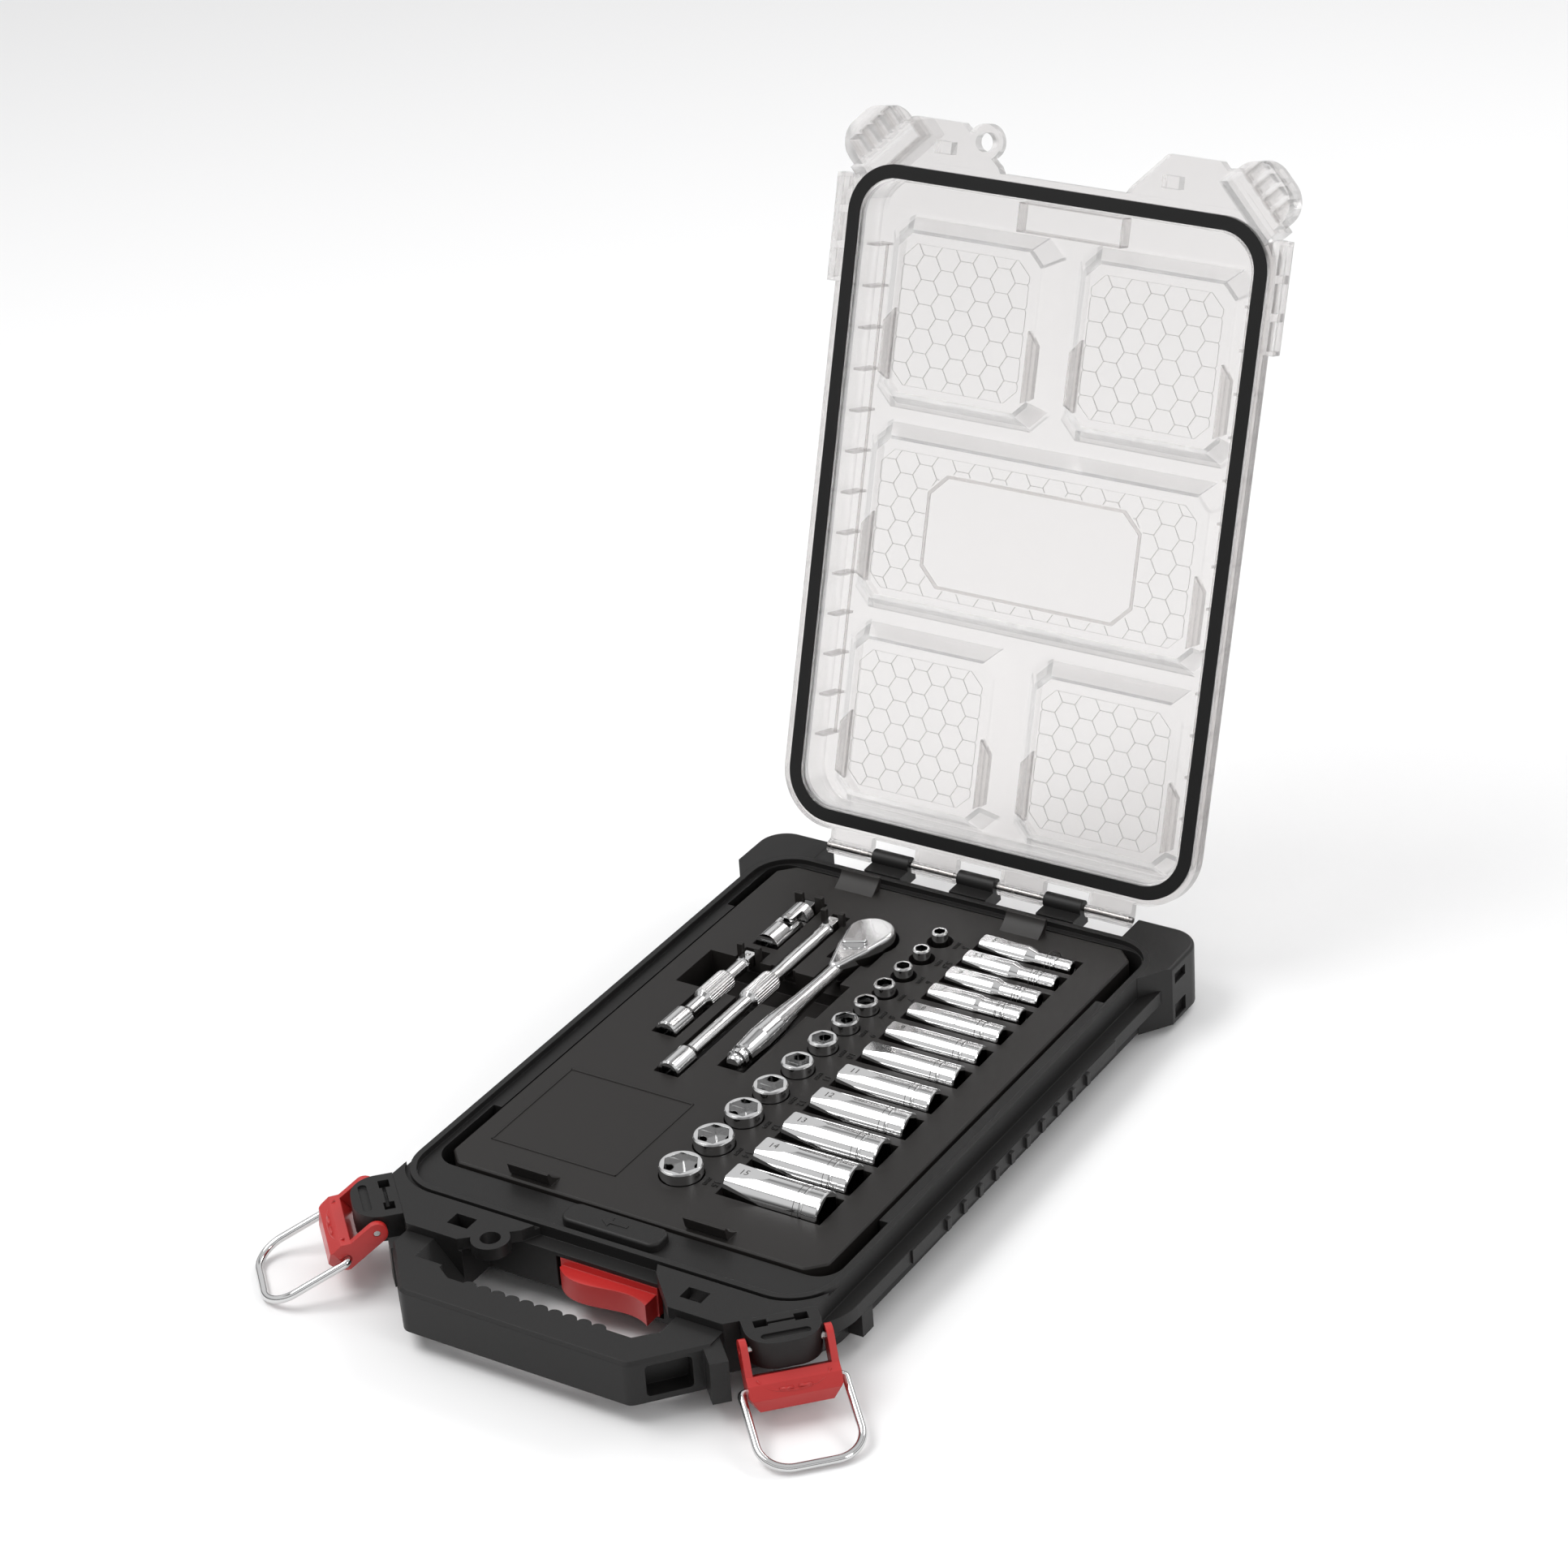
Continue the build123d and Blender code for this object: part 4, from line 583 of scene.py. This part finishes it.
def honeycomb(x, y, half_x, half_y, cut, pattern, hole=None):
    """Raised honeycomb lines inside an octagon, with an optional octagon left bare."""
    shape = bmesh.new()
    reach = pattern.across / 2
    rise = reach * 3**0.5
    columns = int(half_x * MM / (1.5 * reach)) + 2
    rows = int(half_y * MM / rise) + 2
    for column in range(-columns, columns + 1):
        for row in range(-rows, rows + 1):
            cx = x * MM + column * 1.5 * reach
            cy = y * MM + (row + (column % 2) / 2) * rise
            corners = [
                shape.verts.new((cx + reach * cos(pi / 3 * n), cy + reach * sin(pi / 3 * n), 0))
                for n in range(6)
            ]
            shape.faces.new(corners)
    bmesh.ops.remove_doubles(shape, verts=shape.verts, dist=1e-6)
    for point, out in edge_planes(octagon(x, y, half_x, half_y, cut)):
        bmesh.ops.bisect_plane(
            shape, geom=shape.verts[:] + shape.edges[:] + shape.faces[:],
            plane_co=point, plane_no=out, clear_outer=True,
        )
    specks = [face for face in shape.faces if face.calc_area() < 6e-6]
    bmesh.ops.delete(shape, geom=specks, context="FACES")
    cells = shape.faces[:]
    bmesh.ops.inset_individual(shape, faces=cells, thickness=pattern.line_width / 2)
    bmesh.ops.delete(shape, geom=cells, context="FACES")
    if hole:
        planes = edge_planes(octagon(*hole))
        for point, out in planes:
            bmesh.ops.bisect_plane(
                shape, geom=shape.verts[:] + shape.edges[:] + shape.faces[:],
                plane_co=point, plane_no=out,
            )
        covered = [
            face for face in shape.faces
            if all((face.calc_center_median() - point).dot(out) < 0 for point, out in planes)
        ]
        bmesh.ops.delete(shape, geom=covered, context="FACES")
    raised = bmesh.ops.extrude_face_region(shape, geom=shape.faces[:])
    moved = [item for item in raised["geom"] if isinstance(item, bmesh.types.BMVert)]
    bmesh.ops.translate(shape, vec=(0, 0, -pattern.line_height), verts=moved)
    bmesh.ops.translate(shape, vec=(0, 0, (POCKET_FLOOR_Z + 0.05) * MM), verts=shape.verts)
    return shape


def add_ring(shape, outer, inner, low, high):
    """Adds an upright band between two outlines with the same number of corners."""
    rings = [
        [shape.verts.new((x * MM, y * MM, z * MM)) for x, y in outline]
        for outline, z in ((outer, low), (outer, high), (inner, high), (inner, low))
    ]
    count = len(outer)
    for a, b in zip(rings, rings[1:] + rings[:1]):
        for k in range(count):
            shape.faces.new((a[k], a[(k + 1) % count], b[(k + 1) % count], b[k]))
    bmesh.ops.recalc_face_normals(shape, faces=shape.faces[:])


class CASE_OT_lid_pattern(bpy.types.Operator):
    """Adds the honeycomb lines and the bare plate's raised frame to the pocket floors"""

    bl_idname = "case.lid_pattern"
    bl_label = "Add the lid pattern"

    def execute(self, context):
        pattern = context.scene.lid_pattern
        hole = (PLATE_X, PLATE_Y, PLATE_HALF_X + 0.6, PLATE_HALF_Y + 0.6, PLATE_CUT)
        for n, (x, y, half_x) in enumerate(POCKET_FLOORS):
            shape = honeycomb(
                x, y, half_x - 2.5, FLOOR_HALF_Y - 2.5, 7.0, pattern, hole if n == 2 else None
            )
            mesh = to_mesh(f"lid_honeycomb_{n + 1}", shape, LID)
            add_piece(mesh.name, mesh, finish("clear_line"), "lid")
        shape = bmesh.new()
        outer = octagon(PLATE_X, PLATE_Y, PLATE_HALF_X, PLATE_HALF_Y, PLATE_CUT)
        inner = octagon(
            PLATE_X, PLATE_Y, PLATE_HALF_X - PLATE_FRAME, PLATE_HALF_Y - PLATE_FRAME,
            PLATE_INNER_CUT,
        )
        add_ring(shape, outer, inner, POCKET_FLOOR_Z - 0.9, POCKET_FLOOR_Z + 0.05)
        bmesh.ops.bevel(
            shape, geom=shape.edges[:], offset=0.3 * MM, segments=2, profile=0.6, affect="EDGES"
        )
        mesh = to_mesh("lid_plate", shape, LID)
        add_piece(mesh.name, mesh, finish("clear_plastic"), "lid")
        return {"FINISHED"}


# Steps on the pockets' side walls: how far they reach, and their ends along the pocket.
STEP_REACH, STEP_SINK, STEP_UNDER, STEP_OVER = 5.4, 0.2, 0.2, 3.4
STEP_REAR, STEP_FRONT, STEP_OUTER_REAR, STEP_OUTER_FRONT = 34.0, -2.0, 31.0, 5.0
# Recess at the lid's front edge: half its width, its ends along Y and its wall.
RECESS_HALF_X, RECESS_FRONT, RECESS_REAR, RECESS_WALL = 28.0, -157.5, -142.8, 0.8
RECESS_LOW, RECESS_HIGH = 53.0, 61.7


class CASE_OT_lid_steps(bpy.types.Operator):
    """Adds the hooked steps beside the pocket floors and the recess at the front edge"""

    bl_idname = "case.lid_steps"
    bl_label = "Add the lid's steps"

    def execute(self, context):
        shape = bmesh.new()
        low, high = POCKET_FLOOR_Z - STEP_UNDER, POCKET_FLOOR_Z + STEP_OVER
        for x, y, half_x in POCKET_FLOORS:
            for side in (-1, 1):
                wall = x + side * half_x
                out = wall + side * STEP_REACH
                outline = [
                    (wall - side * STEP_SINK, y + STEP_REAR),
                    (wall - side * STEP_SINK, y + STEP_FRONT),
                    (out, y + STEP_OUTER_FRONT), (out, y + STEP_OUTER_REAR),
                ]
                add_prism(shape, outline, low, high)
        half, wall = RECESS_HALF_X, RECESS_WALL
        for x0, x1, y0, y1 in (
            (-half, half, RECESS_FRONT, RECESS_FRONT + wall),
            (-half, half, RECESS_REAR - wall, RECESS_REAR),
            (-half - wall, -half, RECESS_FRONT, RECESS_REAR),
            (half, half + wall, RECESS_FRONT, RECESS_REAR),
        ):
            add_block(shape, (x0, y0, RECESS_LOW), (x1, y1, RECESS_HIGH), 0.2)
        mesh = to_mesh("lid_steps", shape, LID)
        add_piece(mesh.name, mesh, finish("clear_plastic"), "lid")
        return {"FINISHED"}


LADDER_PITCH, LADDER_STEPS, LADDER_LOW, LADDER_HIGH = 21.0, 7, 45.0, 61.6
RUNG_OUT, RUNG_IN, RUNG_HALF = 107.2, 101.6, 0.6
RAIL_OUT, RAIL_IN, RAIL_LOW, RAIL_HIGH = 103.0, 101.8, 57.0, 58.2


class CASE_OT_lid_ladder(bpy.types.Operator):
    """Adds the stiffening ribs inside the lid's side walls"""

    bl_idname = "case.lid_ladder"
    bl_label = "Add the lid's side ribs"

    def execute(self, context):
        for side, sign in (("left", -1), ("right", 1)):
            shape = bmesh.new()
            for step in range(-LADDER_STEPS + 1, LADDER_STEPS):
                y = step * LADDER_PITCH
                low, high = sorted((sign * RUNG_OUT, sign * RUNG_IN))
                add_block(
                    shape, (low, y - RUNG_HALF, LADDER_LOW), (high, y + RUNG_HALF, LADDER_HIGH),
                    0.2,
                )
            low, high = sorted((sign * RAIL_OUT, sign * RAIL_IN))
            ends = LADDER_PITCH * (LADDER_STEPS - 1)
            add_block(shape, (low, -ends, RAIL_LOW), (high, ends, RAIL_HIGH), 0.2)
            mesh = to_mesh(f"lid_ribs_{side}", shape, LID)
            add_piece(mesh.name, mesh, finish("clear_plastic"), "lid")
        return {"FINISHED"}


# The tray's top face, and its blank panel's ends along X and Y.
TRAY_FACE_Z = 34.5
TRAY_PANEL, PANEL_FRAME = (-90.0, -21.0, -118.0, -52.0), 0.7


class CASE_OT_tray_marks(bpy.types.Operator):
    """Adds the size figures and the framed blank panel to the tray"""

    bl_idname = "case.tray_marks"
    bl_label = "Add the tray's figures"

    def execute(self, context):
        marks = context.scene.size_marks
        top = TRAY_FACE_Z
        # The figures read towards the front, with their tops towards the right.
        turn = Matrix(((0, 1, 0), (-1, 0, 0), (0, 0, 1))).to_4x4()
        meshes = []
        for size in SIZES:
            low, high = box_mm(f"socket_shallow_{size}mm")
            y = (low[1] + high[1]) / 2
            figure = size.replace("_", ".")
            for words, x, share in ((figure, 23.1, 1.0), ("mm", 18.9, 0.8)):
                place = Matrix.Translation((x * MM, y * MM, (top - 0.05) * MM)) @ turn
                meshes.append(
                    text_mesh("figure", words, marks.figure_height * share, marks.raise_by, place)
                )
        mesh = join_meshes("tray_figures", meshes)
        add_piece(mesh.name, mesh, finish("tray_mark"), "tray")
        shape = bmesh.new()
        x0, x1, y0, y1 = TRAY_PANEL
        for low_x, high_x, low_y, high_y in (
            (x0, x1, y0, y0 + PANEL_FRAME),
            (x0, x1, y1 - PANEL_FRAME, y1),
            (x0, x0 + PANEL_FRAME, y0, y1),
            (x1 - PANEL_FRAME, x1, y0, y1),
        ):
            low, high = (low_x, low_y, top - 0.1), (high_x, high_y, top + 0.35)
            add_block(shape, low, high, 0.12)
        mesh = to_mesh("tray_panel_frame", shape)
        add_piece(mesh.name, mesh, finish("tray_plastic"), "tray")
        return {"FINISHED"}


# Deep sockets: where their flats run out, and how near the flats lie at the drive end.
NECK_AT, FLAT_SHARE, FIGURE_AT = 0.52, 0.8, 7.0


class CASE_OT_socket_marks(bpy.types.Operator):
    """Adds the size figures and the ring marks of the deep sockets"""

    bl_idname = "case.socket_marks"
    bl_label = "Mark the deep sockets"

    def execute(self, context):
        for size in SIZES:
            name = f"socket_deep_{size}mm"
            low, high = box_mm(name)
            across = high[2] - low[2]
            y, z = (low[1] + high[1]) / 2, (low[2] + high[2]) / 2
            # The flats rise from a share of the width to clear of the socket.
            start, run = low[0], NECK_AT * (high[0] - low[0])
            slope = ((across + 1) - FLAT_SHARE * across) / 2 / run
            x = start + FIGURE_AT
            flat_z = z + FLAT_SHARE / 2 * across + slope * (x - start)
            place = (
                Matrix.Translation((x * MM, y * MM, (flat_z - 0.015) * MM))
                @ Matrix.Rotation(-slope, 4, "Y")
            )
            height = min(0.0052, across * 0.36 * MM)
            figure = size.replace("_", ".")
            mesh = text_mesh(f"size_mark_{size}", figure, height, 0.00005, place)
            add_piece(mesh.name, mesh, finish("etched"), name)
            shape = bmesh.new()
            for ring_x in (high[0] - 12.5, high[0] - 9.5):
                circle = [
                    (ring_x, y + cos(pi * n / 24) * across / 2, z + sin(pi * n / 24) * across / 2)
                    for n in range(48)
                ]
                circle.append(circle[0])
                add_tube(shape, circle, 0.16, 6)
            mesh = to_mesh(f"ring_marks_{size}", shape)
            add_piece(mesh.name, mesh, finish("etched"), name, True)
        return {"FINISHED"}


# Knurled bands: name, body, centre x, height, start y, length and radius, in millimetres.
KNURLS = (
    ("knurl_extension_long", "extension_long", -47.3, 34.0, 37.0, 21.0, 5.25),
    ("knurl_extension_short", "extension_short", -67.5, 34.0, 28.0, 21.0, 5.25),
)


def knurl(x, z, y0, length, radius, teeth, depth):
    """A band of straight rounded flutes around a bar that lies along Y."""
    shape = bmesh.new()
    around = teeth * 6
    steps = (
        (0.0, 0.0), (0.5, 0.6), (1.2, 1.0),
        (length - 1.2, 1.0), (length - 0.5, 0.6), (length, 0.0),
    )
    rings = []
    for along, share in steps:
        ring = []
        for n in range(around):
            turn = 2 * pi * n / around
            out = radius + 0.03 + depth * share * abs(sin(turn * teeth / 2)) ** 0.7
            ring.append(
                shape.verts.new(
                    ((x + out * cos(turn)) * MM, (y0 + along) * MM, (z + out * sin(turn)) * MM)
                )
            )
        rings.append(ring)
    for lower, upper in zip(rings, rings[1:]):
        for n in range(around):
            following = (n + 1) % around
            shape.faces.new((lower[n], lower[following], upper[following], upper[n]))
    shape.faces.new(rings[0][::-1])
    shape.faces.new(rings[-1])
    return shape


class CASE_OT_knurls(bpy.types.Operator):
    """Adds the straight knurls of the extension bars"""

    bl_idname = "case.knurls"
    bl_label = "Add the knurls"

    def execute(self, context):
        settings = context.scene.knurls
        for name, body, x, z, y0, length, radius in KNURLS:
            shape = knurl(x, z, y0, length, radius, settings.teeth, settings.depth / MM)
            add_piece(name, to_mesh(name, shape), finish("chrome"), body)
        return {"FINISHED"}


class CASE_OT_lock_arrow(bpy.types.Operator):
    """Adds the raised arrow on the lock's housing"""

    bl_idname = "case.lock_arrow"
    bl_label = "Add the lock arrow"

    def execute(self, context):
        low, high = box_mm("lock_housing")
        x, y, top = (low[0] + high[0]) / 2, (low[1] + high[1]) / 2, high[2]
        shape = bmesh.new()
        outline = [
            (x + 7, y - 1), (x + 7, y + 1), (x - 2, y + 1), (x - 2, y + 3.4), (x - 7, y),
            (x - 2, y - 3.4), (x - 2, y - 1),
        ]
        add_prism(shape, outline, top - 0.3, top + 0.3)
        bmesh.ops.bevel(
            shape, geom=shape.edges[:], offset=0.12 * MM, segments=1, affect="EDGES"
        )
        mesh = to_mesh("lock_arrow", shape)
        add_piece(mesh.name, mesh, finish("black_plastic"), "base")
        return {"FINISHED"}


LEVER_REST = {"left": radians(36), "right": radians(58)}


def lever_frame(side):
    """The lever's own frame: x along its pivot, y down the lever, z out of its face."""
    pivot = Vector(JOINTS[f"lever_{side}_pivot"]["pos_m"])
    sign = -1 if side == "left" else 1
    inward = Vector((-sign, 1, 0)).normalized()
    up = Vector((0, 0, 1))
    tilt = LEVER_REST[side]
    down = -inward * cos(tilt) - up * sin(tilt)
    out = -inward * sin(tilt) + up * cos(tilt)
    along = down.cross(out)
    matrix = Matrix((along, down, out)).transposed().to_4x4()
    matrix.translation = pivot
    return matrix


class CASE_OT_lever_marks(bpy.types.Operator):
    """Adds the curved ridge and the two grip bars to each latch lever"""

    bl_idname = "case.lever_marks"
    bl_label = "Add the lever ridges"

    def execute(self, context):
        for side in ("left", "right"):
            shape = bmesh.new()
            for x in (-4.2, 4.2):
                add_tube(shape, [(x - 3.0, 18.4, 7.15), (x + 3.0, 18.4, 7.15)], 0.7)
            curve = []
            for n in range(21):
                t = -1 + n / 10
                curve.append((t * 16.0, 13.2 + 6.4 * (1 - t * t) ** 0.5, 6.9 + 0.25 * (1 - t * t)))
            add_tube(shape, curve, 0.45, 8)
            mesh = to_mesh(f"lever_ridges_{side}", shape, lever_frame(side))
            add_piece(
                mesh.name, mesh, finish("red_plastic"), f"lever_{side}", True
            )
        return {"FINISHED"}


CAMERA_AT = (0.9242, -1.3774, 1.0923)
AZIMUTH, ELEVATION, ROLL = radians(33.66), radians(28.73), radians(-4.05)


def aim(holder, target):
    """Turns a light towards a point."""
    away = holder.location - Vector(target)
    holder.rotation_euler = away.to_track_quat("Z", "Y").to_euler()


class CASE_OT_studio(bpy.types.Operator):
    """Builds the floor, the room, the lights and the camera"""

    bl_idname = "case.studio"
    bl_label = "Build the studio"

    def execute(self, context):
        scene = context.scene
        settings = scene.studio
        shape = bmesh.new()
        bmesh.ops.create_grid(shape, x_segments=2, y_segments=2, size=6.0)
        floor_mesh = bpy.data.meshes.new("studio_floor")
        shape.to_mesh(floor_mesh)
        shape.free()
        floor = bpy.data.objects.new("studio_floor", floor_mesh)
        floor.location.z = -0.0002
        scene.collection.objects.link(floor)
        material, tree, shader = blank("Pale floor")
        shader.inputs["Base Color"].default_value = (0.9, 0.9, 0.9, 1.0)
        shader.inputs["Roughness"].default_value = 0.75
        floor_mesh.materials.append(material)

        world = bpy.data.worlds.new("Studio room")
        world.use_nodes = True
        tree = world.node_tree
        room = tree.nodes["Background"]
        place = tree.nodes.new("ShaderNodeTexCoord")
        split = tree.nodes.new("ShaderNodeSeparateXYZ")
        ramp = tree.nodes.new("ShaderNodeValToRGB")
        tree.links.new(place.outputs["Generated"], split.inputs[0])
        tree.links.new(split.outputs["Z"], ramp.inputs[0])
        bands = ((0.0, 0.16), (0.18, 0.22), (0.34, 0.95), (0.6, 1.0), (0.72, 0.3), (0.86, 0.9))
        while len(ramp.color_ramp.elements) < len(bands):
            ramp.color_ramp.elements.new(0.5)
        for element, (position, grey) in zip(ramp.color_ramp.elements, bands):
            element.position = position
            element.color = (grey, grey, grey * 1.005, 1.0)
        tree.links.new(ramp.outputs[0], room.inputs["Color"])
        room.inputs["Strength"].default_value = settings.surround
        scene.world = world

        for name, place, size, share, target in (
            ("key_light", (-0.9, -0.5, 1.7), (1.3, 0.9), 1.0, (0, 0, 0.03)),
            ("back_light", (0.5, 1.5, 1.5), (1.4, 0.5), 0.55, (0, 0.1, 0.05)),
            ("side_light", (1.7, -0.4, 0.8), (0.5, 1.0), 0.3, (0, 0, 0.05)),
        ):
            lamp = bpy.data.lights.new(name, "AREA")
            lamp.shape = "RECTANGLE"
            lamp.size, lamp.size_y = size
            lamp.energy = settings.key * share
            holder = bpy.data.objects.new(name, lamp)
            holder.location = place
            scene.collection.objects.link(holder)
            aim(holder, target)

        right = Vector((cos(AZIMUTH), sin(AZIMUTH), 0))
        back = Vector(
            (cos(ELEVATION) * sin(AZIMUTH), -cos(ELEVATION) * cos(AZIMUTH), sin(ELEVATION))
        )
        up = back.cross(right)
        turn = Matrix((right, up, back)).transposed() @ Matrix.Rotation(ROLL, 3, "Z")
        lens = bpy.data.cameras.new("camera")
        lens.lens = settings.lens
        lens.sensor_width = 36.0
        lens.clip_start = 0.01
        camera = bpy.data.objects.new("camera", lens)
        camera.matrix_world = Matrix.Translation(CAMERA_AT) @ turn.to_4x4()
        scene.collection.objects.link(camera)
        scene.camera = camera
        scene.view_settings.view_transform = "Standard"
        return {"FINISHED"}


# ---- Panel and registration --------------------------------------------------------------------


OPERATORS = (
    CASE_OT_finishes, CASE_OT_lid_pattern, CASE_OT_lid_steps, CASE_OT_lid_ladder,
    CASE_OT_tray_marks, CASE_OT_socket_marks, CASE_OT_knurls, CASE_OT_lock_arrow,
    CASE_OT_lever_marks, CASE_OT_studio,
)
SETTINGS = (
    ("case_finishes", CaseFinishes), ("lid_pattern", LidPattern), ("size_marks", SizeMarks),
    ("knurls", KnurlSettings), ("studio", StudioSettings),
)


class CASE_PT_panel(bpy.types.Panel):
    """Lists the pieces and their settings"""

    bl_idname = "CASE_PT_panel"
    bl_label = "Socket set"
    bl_space_type = "VIEW_3D"
    bl_region_type = "UI"
    bl_category = "Socket set"

    def draw(self, context):
        for operator in OPERATORS:
            self.layout.operator(operator.bl_idname)
        for name, group in SETTINGS:
            settings = getattr(context.scene, name)
            for key in group.__annotations__:
                self.layout.prop(settings, key)


CLASSES = tuple(group for _, group in SETTINGS) + OPERATORS + (CASE_PT_panel,)


def register():
    for item in CLASSES:
        bpy.utils.register_class(item)
    for name, group in SETTINGS:
        setattr(bpy.types.Scene, name, PointerProperty(type=group))


def unregister():
    for name, _ in SETTINGS:
        delattr(bpy.types.Scene, name)
    for item in reversed(CLASSES):
        bpy.utils.unregister_class(item)


def main():
    register()
    bpy.ops.case.finishes()
    bpy.ops.case.lid_pattern()
    bpy.ops.case.lid_steps()
    bpy.ops.case.lid_ladder()
    bpy.ops.case.tray_marks()
    bpy.ops.case.socket_marks()
    bpy.ops.case.knurls()
    bpy.ops.case.lock_arrow()
    bpy.ops.case.lever_marks()
    bpy.ops.case.studio()


if __name__ == "__main__":
    main()
